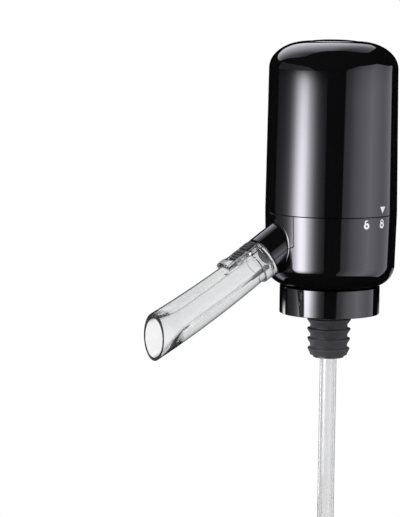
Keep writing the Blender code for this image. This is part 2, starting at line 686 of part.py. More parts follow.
def wall_distance(radius, angle):
    """How far along the neck the body's wall lies, on a line beside the neck's axis."""
    side = radius * math.sin(angle)
    lift = radius * math.cos(angle)
    wall_x = -math.sqrt(BODY_RADIUS * BODY_RADIUS - side * side)
    return (NECK_ROOT.x - wall_x - lift * math.sin(NECK_SLOPE)) / math.cos(NECK_SLOPE)


def neck_fillet():
    """The rounded corner between the neck and the body, on the neck's sides and top."""
    shape = bmesh.new()
    steps = 14
    half_range = math.radians(118.0)
    depth = NECK_FILLET / 2
    rings = []
    for step in range(steps + 1):
        angle = half_range * (2 * step / steps - 1)
        size = NECK_FILLET * math.cos(angle * math.pi / 2 / half_range) ** 0.5 if 0 < step < steps else 0.0
        size = max(size, NECK_FILLET / 5)
        outer = NECK_RADIUS + size
        middle = NECK_RADIUS + size / 3
        inner = NECK_RADIUS - depth
        ring = [(outer, wall_distance(outer, angle) - depth), (outer, wall_distance(outer, angle)),
                (middle, wall_distance(middle, angle) + size / 3),
                (NECK_RADIUS - WELD_DISTANCE, wall_distance(NECK_RADIUS, angle) + size),
                (inner, wall_distance(inner, angle) + size / 2),
                (inner, wall_distance(inner, angle) - depth)]
        rings.append([shape.verts.new((radius * math.cos(angle), radius * math.sin(angle), along))
                      for radius, along in ring])
    for first, second in zip(rings, rings[1:]):
        for index in range(len(first)):
            following = (index + 1) % len(first)
            shape.faces.new((first[index], first[following], second[following], second[index]))
    shape.faces.new(rings[0])
    shape.faces.new(rings[-1])
    return link_mesh("fillet", shape, NECK_FRAME)


def neck_bore():
    """The stepped bore for hose, nozzle and spout, as one turned cutter."""
    hose_hole = HOSE_RADIUS + FIT_GAP
    outline = [(0.0, -BODY_RADIUS / 2), (hose_hole, -BODY_RADIUS / 2), (hose_hole, SHOULDER_BOTTOM),
               (WINE_NIPPLE_RADIUS + FIT_GAP, SHOULDER_BOTTOM),
               (WINE_NIPPLE_RADIUS + FIT_GAP, -NECK_SHOULDER_PLACE),
               (NECK_BORE_RADIUS, -NECK_SHOULDER_PLACE),
               (NECK_BORE_RADIUS, NECK_LENGTH + CUT_OVERRUN), (0.0, NECK_LENGTH + CUT_OVERRUN)]
    return turned("bore", outline, ROUND_SIDES, NECK_FRAME)


def cover_region(grow):
    """The space of the neck cover: over the neck's middle plane, between two upright edges."""
    half = COVER_HALF_WIDTH + grow
    narrow = COVER_NARROW_HALF_WIDTH + grow
    root = NECK_ROOT.z
    low = root - BODY_RADIUS
    high = SEAM + CUT_OVERRUN
    corner = root + COVER_CORNER_RISE - grow
    edge = corner - (half - narrow)
    outline = [(-narrow, low), (narrow, low), (narrow, edge), (half, corner), (half, high),
               (-half, high), (-half, corner), (-narrow, edge)]
    upright = Matrix(((0, 0, 1, 0), (1, 0, 0, 0), (0, 1, 0, 0), (0, 0, 0, 1)))
    region = prism("region", outline, -BODY_RADIUS - NECK_LENGTH - NECK_RADIUS,
                   -BODY_RADIUS / 2, upright)
    plane = FIT_GAP / 2 - grow
    reach = 2 * BODY_RADIUS
    upper_half = block("upper_half", (plane, -reach, -reach), (reach, reach, reach), NECK_FRAME)
    return keep(region, upper_half)


def make_neck_cover(look):
    cover = wall_ring()
    cover.name = "neck_cover"
    join(cover, neck_sleeve("sleeve", wall_distance(NECK_RADIUS, 0.0) - HOUSING_WALL))
    join(cover, neck_fillet())
    cut(cover, cylinder("inside", BODY_RADIUS - HOUSING_WALL - FACE_STEP, 0.0, TOP, BODY_SIDES))
    keep(cover, cover_region(0.0))
    cut(cover, neck_bore())
    slot_top = HOOK_BOTTOM + HOOK_THICKNESS + hook_lift() + FIT_GAP / 2
    slot_half = HOOK_HALF_WIDTH + FIT_GAP
    tooth_start = FLANGE_START - HOOK_REACH
    cut(cover, block("slot", (HOOK_BOTTOM - FIT_GAP, -slot_half, tooth_start - FIT_GAP - FIT_GAP),
                     (slot_top, slot_half, NECK_LENGTH + CUT_OVERRUN), NECK_FRAME))
    cut(cover, block("window", (0.0, -slot_half, tooth_start - FIT_GAP),
                     (HOOK_BOTTOM, slot_half, tooth_start + HOOK_TOOTH_LENGTH + FIT_GAP), NECK_FRAME))
    return finish(cover, look)


def hook_lift():
    return (LATCH_PIVOT + HOOK_REACH) * math.sin(LATCH_SWING)


def make_lower_housing(look):
    housing = turned("lower_housing", housing_outline(), BODY_SIDES)
    region = cover_region(FIT_GAP)
    ledge_edge = BODY_RADIUS - HOUSING_WALL - FACE_STEP - FIT_GAP
    cut(region, cylinder("ledge_keep", ledge_edge, 0.0, TOP, BODY_SIDES))
    join(housing, neck_sleeve("sleeve", SHOULDER_BOTTOM))
    join(housing, neck_fillet())
    cut(housing, region)
    sleeve_end = SHOULDER_BOTTOM - NECK_SHOULDER
    cut(housing, block("inner_half", (FACE_STEP - FIT_GAP / 2, -COVER_HALF_WIDTH, sleeve_end),
                       (NECK_BORE_RADIUS / 2, COVER_HALF_WIDTH, NECK_LENGTH), NECK_FRAME))
    cut(housing, neck_bore())
    for angle in pillar_angles():
        place = polar(PILLAR_PLACE_RADIUS, angle)
        join(housing, cylinder("pillar", PILLAR_RADIUS, HOUSING_FLOOR_TOP - HOUSING_FLOOR / 2,
                               REGISTER_TOP - FACE_STEP, SMALL_SIDES, place))
        cut(housing, cylinder("pilot", SCREW_HOLE_RADIUS, REGISTER_TOP - CARRIER_SCREW_LENGTH,
                              REGISTER_TOP + CUT_OVERRUN, SMALL_SIDES, place))
    for angle in boss_angles():
        place = polar(BOSS_PLACE_RADIUS, angle)
        boss_top = HOUSING_FLOOR_TOP + BOSS_HEIGHT
        join(housing, cylinder("boss", BOSS_RADIUS, HOUSING_FLOOR_TOP - HOUSING_FLOOR / 2,
                               boss_top, SMALL_SIDES, place))
        cut(housing, cylinder("pilot", SCREW_HOLE_RADIUS, HOUSING_BOTTOM - CUT_OVERRUN,
                              boss_top - CUT_OVERRUN, SMALL_SIDES, place))
    cut(housing, cylinder("wine_hole", WINE_NIPPLE_RADIUS + FIT_GAP, HOUSING_BOTTOM,
                          HOUSING_FLOOR_TOP + CUT_OVERRUN, ROUND_SIDES))
    cut(housing, cylinder("air_hole", AIR_NIPPLE_RADIUS + FIT_GAP, HOUSING_BOTTOM,
                          HOUSING_FLOOR_TOP + CUT_OVERRUN, SMALL_SIDES, (AIR_LINE_OFFSET, 0.0)))
    for middle in lug_angles():
        add_bayonet(housing, middle)
    return finish(housing, look)


def add_bayonet(housing, middle):
    """One third of the bayonet: a flange to hold a lug down, and a stop at each end of its travel."""
    inner = REGISTER_RADIUS - REGISTER_WALL / 2
    third = 2 * math.pi / LUG_COUNT
    gap_half = LUG_HALF_ANGLE + LUG_GAP_ANGLE
    flange_start = middle - UNLOCK_ANGLE + gap_half
    flange_end = middle - UNLOCK_ANGLE - gap_half + third
    flange = arc_block("flange", inner, BAYONET_RADIUS, LUG_TOP + FIT_GAP, REGISTER_TOP - FIT_GAP,
                       (flange_start + flange_end) / 2, (flange_end - flange_start) / 2, 8)
    join(housing, flange)
    closed_stop = middle + LUG_HALF_ANGLE + STOP_GAP_ANGLE + STOP_ANGLE / 2
    open_stop = middle - UNLOCK_ANGLE - LUG_HALF_ANGLE - STOP_GAP_ANGLE - STOP_ANGLE / 2
    for place in (closed_stop, open_stop):
        join(housing, arc_block("stop", inner, BAYONET_RADIUS - FACE_STEP, SEAM - FACE_STEP,
                                LUG_TOP + BAYONET_FLANGE / 2, place, STOP_ANGLE / 2, 1))


def pillar_angles():
    return [2 * math.pi * index / 3 for index in range(3)]


def boss_angles():
    return [math.pi / 3 + 2 * math.pi * index / 3 for index in range(3)]


def make_bottle_collar(look):
    bore = CORE_RADIUS + FIT_GAP
    outline = [(bore, WEB_BOTTOM), (COLLAR_INNER_RADIUS, WEB_BOTTOM),
               (COLLAR_INNER_RADIUS, -COLLAR_DROP),
               (COLLAR_RADIUS - COLLAR_EDGE, -COLLAR_DROP)]
    outline += ellipse_points(COLLAR_RADIUS - COLLAR_EDGE, -COLLAR_DROP + COLLAR_EDGE,
                              COLLAR_EDGE, COLLAR_EDGE, -60.0, 0.0, 2)
    outline += [(COLLAR_RADIUS, WEB_TOP), (bore, WEB_TOP)]
    collar = turned("bottle_collar", outline, BODY_SIDES)
    for angle in boss_angles():
        place = polar(BOSS_PLACE_RADIUS, angle)
        countersink = turned("countersink", screw_head_outline(FIT_GAP), SMALL_SIDES)
        shift(countersink, place[0], place[1])
        cut(collar, countersink)
    return finish(collar, look)


def screw_head_outline(grow):
    """A countersunk head that lies flush in the collar's web, or the hole for one."""
    bottom = WEB_BOTTOM if grow == 0.0 else WEB_BOTTOM - CUT_OVERRUN
    outline = [(0.0, bottom), (SCREW_HEAD_RADIUS + grow, bottom), (SCREW_HEAD_RADIUS + grow, WEB_BOTTOM)]
    if grow == 0.0:
        outline = outline[:2]
    top = WEB_BOTTOM + COLLAR_SCREW_LENGTH if grow == 0.0 else WEB_TOP + CUT_OVERRUN
    outline += [(SCREW_RADIUS + grow, WEB_BOTTOM + COUNTERSINK_HEIGHT), (SCREW_RADIUS + grow, top),
                (0.0, top)]
    return outline


def make_collar_screws(look):
    for index, angle in enumerate(boss_angles()):
        screw = turned("collar_screw_%d" % (index + 1), screw_head_outline(0.0), SMALL_SIDES)
        place = polar(BOSS_PLACE_RADIUS, angle)
        shift(screw, place[0], place[1])
        finish(screw, look)


def make_port_block(look):
    flange_top = HOUSING_BOTTOM + CORE_FLANGE_THICKNESS
    nipple_top = flange_top + WINE_NIPPLE_LENGTH
    outline = [(0.0, -CORE_DEPTH), (CORE_RADIUS, -CORE_DEPTH), (CORE_RADIUS, HOUSING_BOTTOM),
               (CORE_FLANGE_RADIUS, HOUSING_BOTTOM), (CORE_FLANGE_RADIUS, flange_top),
               (WINE_NIPPLE_RADIUS, flange_top), (WINE_NIPPLE_RADIUS, nipple_top), (0.0, nipple_top)]
    ports = turned("port_block", outline, ROUND_SIDES)
    line = (AIR_LINE_OFFSET, 0.0)
    air_top = flange_top + AIR_NIPPLE_LENGTH
    join(ports, cylinder("air_nipple", AIR_NIPPLE_RADIUS, flange_top - CORE_FLANGE_THICKNESS / 2,
                         air_top, SMALL_SIDES, line))
    socket_top = -CORE_DEPTH + INTAKE_SOCKET_DEPTH
    bore = [(0.0, -CORE_DEPTH - CUT_OVERRUN), (INTAKE_RADIUS + FIT_GAP, -CORE_DEPTH - CUT_OVERRUN),
            (INTAKE_RADIUS + FIT_GAP, socket_top), (WINE_BORE_RADIUS, socket_top),
            (WINE_BORE_RADIUS, nipple_top + CUT_OVERRUN), (0.0, nipple_top + CUT_OVERRUN)]
    cut(ports, turned("wine_bore", bore, ROUND_SIDES))
    channel_top = HOUSING_BOTTOM + AIR_CHANNEL_DEPTH
    cut(ports, cylinder("air_bore", AIR_BORE_RADIUS, -CORE_DEPTH - CUT_OVERRUN,
                        channel_top - AIR_CHANNEL_DEPTH / 4, SMALL_SIDES, (AIR_BORE_OFFSET, 0.0)))
    cut(ports, cylinder("air_way", AIR_BORE_RADIUS, HOUSING_BOTTOM + AIR_CHANNEL_DEPTH / 4,
                        air_top + CUT_OVERRUN, SMALL_SIDES, line))
    half = AIR_CHANNEL_WIDTH / 2
    cut(ports, block("air_channel", (AIR_BORE_OFFSET, -half, HOUSING_BOTTOM - AIR_CHANNEL_DEPTH / 4),
                     (AIR_LINE_OFFSET, half, channel_top)))
    return finish(ports, look)


def make_bottle_stopper(look):
    """Silicone sleeve with saw-tooth fins and the flat ring that seats on the bottle's rim."""
    inner = CORE_RADIUS + FIT_GAP
    root = inner + STOPPER_WALL
    pitch = (STOPPER_DEPTH - STOPPER_WALL) / STOPPER_FIN_COUNT
    outline = [(inner, -STOPPER_DEPTH), (root, -STOPPER_DEPTH)]
    for index in range(STOPPER_FIN_COUNT):
        low = -STOPPER_DEPTH + STOPPER_WALL / 2 + pitch * index
        reach = STOPPER_FIN_REACH - STOPPER_FIN_TAPER * (1 - index / (STOPPER_FIN_COUNT - 1))
        high = low + pitch * 3 / 5
        outline += [(root, low), (root + reach, high - STOPPER_FIN_TIP), (root + reach, high), (root, high)]
    outline += [(root, 0.0), (SEAT_RADIUS, 0.0), (SEAT_RADIUS, SEAT_THICKNESS), (inner, SEAT_THICKNESS)]
    return finish(turned("bottle_stopper", outline, ROUND_SIDES), look)


def hose_path():
    """The wine hose's middle line: up the axis, over one bend, and out along the neck."""
    turn = math.pi / 2 + NECK_SLOPE
    crossing = NECK_ROOT.z + BODY_RADIUS * math.tan(NECK_SLOPE)
    bend_height = crossing - HOSE_BEND_RADIUS * math.tan(turn / 2)
    path = [Vector((0.0, 0.0, HOUSING_FLOOR_TOP + FIT_GAP))]
    steps = 8
    for step in range(steps + 1):
        angle = turn * step / steps
        path.append(Vector((HOSE_BEND_RADIUS * (math.cos(angle) - 1.0), 0.0,
                            bend_height + HOSE_BEND_RADIUS * math.sin(angle))))
    path.append(NECK_FRAME @ Vector((0.0, 0.0, SHOULDER_BOTTOM - FIT_GAP)))
    return path


def make_hoses(wine_look, air_look):
    finish(swept("wine_hose", hose_path(), HOSE_INNER_RADIUS, HOSE_RADIUS, HOSE_SIDES), wine_look)
    air_hose = tube("air_hose", AIR_HOSE_INNER_RADIUS, AIR_HOSE_RADIUS, HOUSING_FLOOR_TOP + FIT_GAP,
                    PUMP_BOTTOM - FIT_GAP, SMALL_SIDES, (AIR_LINE_OFFSET, 0.0))
    finish(air_hose, air_look)


def make_intake(tube_look, seal_look, foot_look):
    upper_inner = INTAKE_RADIUS - INTAKE_WALL
    upper_top = -CORE_DEPTH + INTAKE_SOCKET_DEPTH - FIT_GAP
    finish(tube("intake_tube_upper", upper_inner, INTAKE_RADIUS, -INTAKE_UPPER_END, upper_top,
                ROUND_SIDES), tube_look)
    gland_inner = INTAKE_RADIUS + FIT_GAP
    gland_outer = gland_inner + GLAND_WALL
    lip_top = -INTAKE_UPPER_END - GLAND_SEAL_ROOM
    gland_top = lip_top - GLAND_LIP + GLAND_LENGTH + GLAND_LIP
    gland = [(upper_inner, lip_top - GLAND_LIP), (gland_outer, lip_top - GLAND_LIP),
             (gland_outer, gland_top), (gland_inner, gland_top), (gland_inner, lip_top),
             (upper_inner, lip_top)]
    finish(turned("tube_gland", gland, ROUND_SIDES), foot_look)
    seal_middle = (upper_inner + INTAKE_RADIUS) / 2
    seal_height = -INTAKE_UPPER_END - GLAND_SEAL_ROOM / 2
    seal = ellipse_points(seal_middle, seal_height, GLAND_SEAL_SECTION, GLAND_SEAL_SECTION, 0.0, 288.0, 4)
    finish(turned("tube_seal", seal, ROUND_SIDES), seal_look)
    lower_radius = upper_inner - FIT_GAP
    lower_inner = lower_radius - INTAKE_LOWER_WALL
    lower_end = -INTAKE_UPPER_END - INTAKE_REST_DROP
    lower_top = -INTAKE_UPPER_END + INTAKE_TRAVEL + INTAKE_OVERLAP
    lower = tube("intake_tube_lower", lower_inner, lower_radius, lower_end, lower_top, ROUND_SIDES)
    put_origin(lower, Vector((0.0, 0.0, lower_end)))
    finish(lower, tube_look)
    foot_inner = lower_radius + FIT_GAP
    foot_top = lip_top - GLAND_LIP - FIT_GAP - FIT_GAP
    foot_bottom = foot_top - FOOT_LENGTH
    step_height = lower_end - FIT_GAP
    foot_outline = [(lower_inner, foot_bottom), (foot_inner + FOOT_WALL, foot_bottom),
                    (foot_inner + FOOT_WALL, foot_top), (foot_inner, foot_top),
                    (foot_inner, step_height), (lower_inner, step_height)]
    foot = turned("tube_foot", foot_outline, ROUND_SIDES)
    slot_reach = foot_inner + CUT_OVERRUN
    for along, across in ((slot_reach, FOOT_SLOT / 2), (FOOT_SLOT / 2, slot_reach)):
        cut(foot, block("slot", (-along, -across, foot_bottom - CUT_OVERRUN),
                        (along, across, foot_bottom + FOOT_SLOT_DEPTH)))
    put_origin(foot, Vector((0.0, 0.0, lower_end)))
    finish(foot, foot_look)


def make_nozzle(look):
    nipple_end = NOZZLE_BOTTOM - NOZZLE_NIPPLE_LENGTH
    tip_end = NOZZLE_TOP + NOZZLE_TIP_LENGTH
    outline = [(NOZZLE_BORE_RADIUS, nipple_end), (WINE_NIPPLE_RADIUS, nipple_end),
               (WINE_NIPPLE_RADIUS, NOZZLE_BOTTOM), (PLUG_RADIUS, NOZZLE_BOTTOM),
               (PLUG_RADIUS, NOZZLE_TOP), (NOZZLE_TIP_RADIUS, NOZZLE_TOP),
               (NOZZLE_TIP_RADIUS, tip_end), (NOZZLE_BORE_RADIUS, tip_end)]
    nozzle = turned("aerator_nozzle", outline, ROUND_SIDES, NECK_FRAME)
    return finish(nozzle, look)


def spout_radius(along):
    share = (along - RING_END) / (MOUTH_PLACE - RING_END)
    return SPOUT_ROOT_RADIUS + (SPOUT_MOUTH_RADIUS - SPOUT_ROOT_RADIUS) * share


def bend_spout(item):
    """Curve the spout gently upwards past its straight root."""
    for corner in item.data.vertices:
        past = max(corner.co.z - SPOUT_STRAIGHT, 0.0)
        corner.co.x += past * past / (2 * SPOUT_CURVE_RADIUS)
    return item


def make_spout(look):
    far_end = MOUTH_PLACE + SPOUT_MOUTH_RADIUS
    groove_end = NECK_LENGTH - SEAL_PLACE + SEAL_GROOVE_WIDTH / 2
    groove_radius = PLUG_RADIUS - 2 * SEAL_SECTION - FIT_GAP
    groove_start = groove_end - SEAL_GROOVE_WIDTH
    outline = [(0.0, PLUG_START), (PLUG_RADIUS, PLUG_START), (PLUG_RADIUS, groove_start),
               (groove_radius, groove_start), (groove_radius, groove_end),
               (PLUG_RADIUS, groove_end), (PLUG_RADIUS, FLANGE_START),
               (SPOUT_FLANGE_RADIUS, FLANGE_START), (SPOUT_FLANGE_RADIUS, FLANGE_END),
               (SPOUT_FLANGE_RADIUS - SPOUT_GROOVE_DEPTH, FLANGE_END),
               (SPOUT_FLANGE_RADIUS - SPOUT_GROOVE_DEPTH, RING_START),
               (SPOUT_RING_RADIUS, RING_START), (SPOUT_RING_RADIUS, RING_END)]
    steps = 6
    for step in range(steps + 1):
        along = RING_END + (far_end - RING_END) * step / steps
        outline.append((spout_radius(along), along))
    outline.append((0.0, far_end))
    spout = bend_spout(turned("spout", outline, WIDE_SIDES))
    spout.matrix_world = NECK_FRAME
    add_rails(spout)
    cut(spout, spout_bore(far_end))
    mouth_x = NECK_ROOT.x - SPOUT_REACH
    reach = 3 * SPOUT_MOUTH_RADIUS
    cut(spout, block("mouth_cut", (mouth_x - reach, -reach, NECK_ROOT.z - SPOUT_REACH - reach),
                     (mouth_x, reach, NECK_ROOT.z)))
    return finish(spout, look)


def spout_bore(far_end):
    cup_start = MOUTH_PLACE - SPOUT_CUP_LENGTH
    outline = [(0.0, PLUG_START - CUT_OVERRUN), (SPOUT_BORE_RADIUS, PLUG_START - CUT_OVERRUN)]
    steps = 3
    for step in range(steps + 1):
        outline.append((SPOUT_BORE_RADIUS, RING_END + (cup_start - RING_END) * step / steps))
    cup_radius = SPOUT_MOUTH_RADIUS - SPOUT_LIP
    outline += [((SPOUT_BORE_RADIUS + cup_radius) / 2, (cup_start + MOUTH_PLACE) / 2 - SPOUT_LIP),
                (cup_radius, MOUTH_PLACE - SPOUT_MOUTH_RADIUS / 2),
                (cup_radius, far_end + CUT_OVERRUN), (0.0, far_end + CUT_OVERRUN)]
    bore = bend_spout(turned("bore", outline, ROUND_SIDES))
    bore.matrix_world = NECK_FRAME
    return bore


def add_rails(spout):
    """The raised box on the spout's upper side that holds the latch."""
    rail_start = FLANGE_START + SPOUT_FLANGE / 2
    rail_end = FLANGE_START + RAIL_LENGTH
    nose_start = rail_end - NOSE_LENGTH
    outline = [(0.0, rail_start), (RAIL_HEIGHT, rail_start), (RAIL_HEIGHT, nose_start),
               (NOSE_HEIGHT, nose_start + SPOUT_LIP), (NOSE_HEIGHT, rail_end - SPOUT_LIP),
               (RAIL_HEIGHT, rail_end), (0.0, rail_end)]
    join(spout, side_prism("rails", outline, RAIL_HALF_WIDTH))
    pocket_half = LATCH_HALF_WIDTH + FIT_GAP
    pocket_end = FLANGE_START + LATCH_LENGTH + FIT_GAP
    cut(spout, block("pocket", (POCKET_FLOOR, -pocket_half, NECK_LENGTH),
                     (NOSE_HEIGHT + CUT_OVERRUN, pocket_half, pocket_end), NECK_FRAME))
    cut(spout, pin_cylinder("pin_hole", LATCH_PIN_RADIUS + FIT_GAP, RAIL_HALF_WIDTH + CUT_OVERRUN))
    seat_radius = LATCH_SPRING_RADIUS + LATCH_SPRING_WIRE + FIT_GAP / 2
    seat = cylinder("seat", seat_radius, spring_bottom() - hook_lift() - FIT_GAP / 2,
                    POCKET_FLOOR + CUT_OVERRUN, SMALL_SIDES, frame=spring_frame())
    cut(spout, seat)


def side_prism(name, outline, half_width):
    """Extrude a side view of (height, along) points of the neck's frame to both sides."""
    turned_frame = NECK_FRAME @ Matrix(((1, 0, 0, 0), (0, 0, -1, 0), (0, 1, 0, 0), (0, 0, 0, 1)))
    return prism(name, outline, -half_width, half_width, turned_frame)


def latch_pivot():
    return Vector((LATCH_PIVOT_HEIGHT, 0.0, FLANGE_START + LATCH_PIVOT))


def pin_cylinder(name, radius, half_length):
    """A cylinder across the neck on the latch's pivot."""
    crossways = Matrix.Translation(latch_pivot()) @ Matrix.Rotation(math.pi / 2, 4, 'X')
    return cylinder(name, radius, -half_length, half_length, SMALL_SIDES, frame=NECK_FRAME @ crossways)


def spring_frame():
    """The latch spring's frame: its Z is the neck's upper side."""
    place = Matrix.Translation((0.0, 0.0, FLANGE_START + LATCH_PIVOT + LATCH_SPRING_PLACE))
    return NECK_FRAME @ place @ Matrix.Rotation(math.pi / 2, 4, 'Y')


def spring_bottom():
    return POCKET_FLOOR - LATCH_SPRING_WIRE


def make_latch(look, pin_look, spring_look):
    start = FLANGE_START + FIT_GAP / 3
    end = FLANGE_START + LATCH_LENGTH
    pivot = latch_pivot()
    hub_low = pivot.z - LATCH_HUB_HALF_LENGTH
    hub_high = pivot.z + LATCH_HUB_HALF_LENGTH
    slant = LATCH_UNDERSIDE - LATCH_HUB_UNDERSIDE
    outline = [(LATCH_UNDERSIDE, start), (LATCH_UNDERSIDE, hub_low - slant),
               (LATCH_HUB_UNDERSIDE, hub_low), (LATCH_HUB_UNDERSIDE, hub_high),
               (LATCH_UNDERSIDE, hub_high + slant), (LATCH_UNDERSIDE, end),
               (LATCH_PAD_TOP - 2 * LATCH_PAD_DIP, end),
               (LATCH_PAD_TOP - LATCH_PAD_DIP, pivot.z), (LATCH_PAD_TOP, pivot.z - LATCH_PAD_DIP),
               (LATCH_PAD_TOP - LATCH_PAD_DIP, start)]
    latch = side_prism("spout_latch", outline, LATCH_HALF_WIDTH)
    tooth_start = FLANGE_START - HOOK_REACH
    tooth_end = tooth_start + HOOK_TOOTH_LENGTH
    tooth_tip = HOOK_BOTTOM - HOOK_TOOTH_DEPTH
    hook_top = HOOK_BOTTOM + HOOK_THICKNESS
    hook = [(tooth_tip, tooth_start), (tooth_tip, tooth_end), (HOOK_BOTTOM, tooth_end),
            (HOOK_BOTTOM, start + CUT_OVERRUN), (hook_top, start + CUT_OVERRUN),
            (hook_top, tooth_start)]
    join(latch, side_prism("hook", hook, HOOK_HALF_WIDTH))
    cut(latch, pin_cylinder("pin_hole", LATCH_PIN_RADIUS + FIT_GAP, LATCH_HALF_WIDTH + CUT_OVERRUN))
    seat_radius = LATCH_SPRING_RADIUS + LATCH_SPRING_WIRE + FIT_GAP
    spring_top = spring_bottom() + LATCH_SPRING_LENGTH
    cut(latch, cylinder("seat", seat_radius, POCKET_FLOOR, spring_top + FIT_GAP, SMALL_SIDES,
                        frame=spring_frame()))
    pivot_world = NECK_FRAME @ pivot
    put_origin(latch, pivot_world)
    finish(latch, look)
    finish(pin_cylinder("latch_pin", LATCH_PIN_RADIUS, RAIL_HALF_WIDTH - FIT_GAP), pin_look)
    spring = coil("latch_spring", LATCH_SPRING_RADIUS, LATCH_SPRING_WIRE, spring_bottom(), spring_top,
                  LATCH_SPRING_TURNS)
    spring.matrix_world = spring_frame()
    bpy.context.view_layer.update()
    put_origin(spring, pivot_world)
    finish(spring, spring_look)


def make_spout_seal(look):
    middle = PLUG_RADIUS - SEAL_SECTION
    seal = ellipse_points(middle, NECK_LENGTH - SEAL_PLACE, SEAL_SECTION, SEAL_SECTION, 0.0, 288.0, 4)
    return finish(turned("spout_seal", seal, ROUND_SIDES, NECK_FRAME), look)


def cell_angles():
    return [math.pi / CELL_COUNT + 2 * math.pi * index / CELL_COUNT for index in range(CELL_COUNT)]


def carrier_outline():
    """The battery drum's section: a bay open to the outside for each cell, and a hollow rib between."""
    outline = []
    half_pitch = math.pi / CELL_COUNT
    inset = BAY_RADIUS + BAY_WALL
    for middle in cell_angles():
        turn = Matrix.Rotation(middle, 2)
        rib_radius = CARRIER_RADIUS - FIT_GAP
        edge = math.sqrt(rib_radius ** 2 - BAY_RADIUS ** 2)
        bay = [Vector((edge, -BAY_RADIUS))]
        for step in range(7):
            across, along = polar(BAY_RADIUS, -math.pi / 2 - math.pi * step / 6)
            bay.append(Vector((CELL_PLACE_RADIUS + across, along)))
        bay.append(Vector((edge, BAY_RADIUS)))
        outline += [turn @ point for point in bay]
        rib = Matrix.Rotation(half_pitch, 2)
        outer_edge = math.sqrt(rib_radius ** 2 - inset ** 2)
        pocket_corner = CELL_PLACE_RADIUS - BAY_WALL
        side = [Vector((outer_edge, inset)), Vector((pocket_corner, inset))]
        floor_radius = WELL_RADIUS + WELL_WALL + BAY_WALL + FIT_GAP
        back = rib @ Vector((floor_radius, -BAY_WALL - FIT_GAP))
        pocket = side + [back]
        mirrored = []
        for point in reversed(pocket):
            local = rib.inverted() @ point
            mirrored.append(rib @ Vector((local.x, -local.y)))
        outline += [turn @ point for point in pocket + mirrored]
    return [(point.x, point.y) for point in outline]


def make_battery_carrier(look):
    carrier = prism("battery_carrier", carrier_outline(), CARRIER_FLOOR_TOP - CARRIER_FLOOR / 2,
                    CARRIER_TOP_BOTTOM + CARRIER_TOP / 2)
    join(carrier, cylinder("floor", CARRIER_RADIUS, CARRIER_BOTTOM, CARRIER_FLOOR_TOP, WIDE_SIDES))
    join(carrier, cylinder("top", CARRIER_RADIUS, CARRIER_TOP_BOTTOM, CARRIER_TOP_TOP, WIDE_SIDES))
    join(carrier, cylinder("well", WELL_RADIUS + WELL_WALL, WELL_BOTTOM, CARRIER_BOTTOM + CARRIER_FLOOR / 2,
                           WIDE_SIDES))
    well = [(0.0, WELL_BOTTOM - CUT_OVERRUN), (WELL_RADIUS - WELL_LIP, WELL_BOTTOM - CUT_OVERRUN),
            (WELL_RADIUS - WELL_LIP, WELL_BOTTOM + WELL_LIP), (WELL_RADIUS, WELL_BOTTOM + WELL_LIP),
            (WELL_RADIUS, CARRIER_TOP_TOP + CUT_OVERRUN), (0.0, CARRIER_TOP_TOP + CUT_OVERRUN)]
    cut(carrier, turned("well_bore", well, WIDE_SIDES))
    groove_inner = CELL_PLACE_RADIUS - CONTACT_WIDTH / 2 - FIT_GAP
    groove_outer = CELL_PLACE_RADIUS + CONTACT_WIDTH / 2 + FIT_GAP
    seat = FIT_GAP / 3
    cut(carrier, tube("groove", groove_inner, groove_outer, CARRIER_FLOOR_TOP + seat,
                      CARRIER_FLOOR_TOP + CONTACT_ROOM + FIT_GAP, WIDE_SIDES))
    cut(carrier, tube("groove", groove_inner, groove_outer, CARRIER_TOP_BOTTOM - CONTACT_ROOM - FIT_GAP,
                      CARRIER_TOP_BOTTOM - seat, WIDE_SIDES))
    for angle in pillar_angles():
        place = polar(PILLAR_PLACE_RADIUS, angle)
        cut(carrier, cylinder("hole", SCREW_HOLE_RADIUS, CARRIER_BOTTOM - CUT_OVERRUN,
                              CARRIER_FLOOR_TOP + CUT_OVERRUN, SMALL_SIDES, place))
        cut(carrier, cylinder("driver_hole", SCREW_HEAD_RADIUS, CARRIER_TOP_BOTTOM - CUT_OVERRUN,
                              CARRIER_TOP_TOP + CUT_OVERRUN, SMALL_SIDES, place))
    for side in (-1, 1):
        cut(carrier, cylinder("pilot", BOARD_SCREW_RADIUS + FIT_GAP, CARRIER_TOP_BOTTOM - CUT_OVERRUN,
                              CARRIER_TOP_TOP + CUT_OVERRUN, SMALL_SIDES, (0.0, side * BOARD_SCREW_PLACE)))
    return finish(carrier, look)


def make_carrier_screws(look):
    head_bottom = CARRIER_FLOOR_TOP + FIT_GAP
    head_top = head_bottom + SCREW_HEAD_HEIGHT
    screw_tip = head_bottom + FIT_GAP - CARRIER_SCREW_LENGTH
    outline = [(0.0, screw_tip), (SCREW_RADIUS, screw_tip), (SCREW_RADIUS, head_bottom),
               (SCREW_HEAD_RADIUS, head_bottom), (SCREW_HEAD_RADIUS, head_top), (0.0, head_top)]
    for index, angle in enumerate(pillar_angles()):
        screw = turned("carrier_screw_%d" % (index + 1), outline, SMALL_SIDES)
        place = polar(PILLAR_PLACE_RADIUS, angle)
        shift(screw, place[0], place[1])
        finish(screw, look)


def make_cells(look):
    barrel = CELL_LENGTH - CELL_NUB_HEIGHT
    outline = [(0.0, 0.0), (CELL_RADIUS, 0.0), (CELL_RADIUS, barrel), (CELL_NUB_RADIUS, barrel),
               (CELL_NUB_RADIUS, CELL_LENGTH), (0.0, CELL_LENGTH)]
    flip = Matrix.Translation((0.0, 0.0, CELL_LENGTH)) @ Matrix.Rotation(math.pi, 4, 'X')
    for index, angle in enumerate(cell_angles()):
        cell = turned("battery_%d" % (index + 1), outline, CELL_SIDES)
        if index % 2:
            cell.data.transform(flip)
        place = polar(CELL_PLACE_RADIUS, angle)
        cell.location = (place[0], place[1], CELL_BOTTOM)
        finish(cell, look)


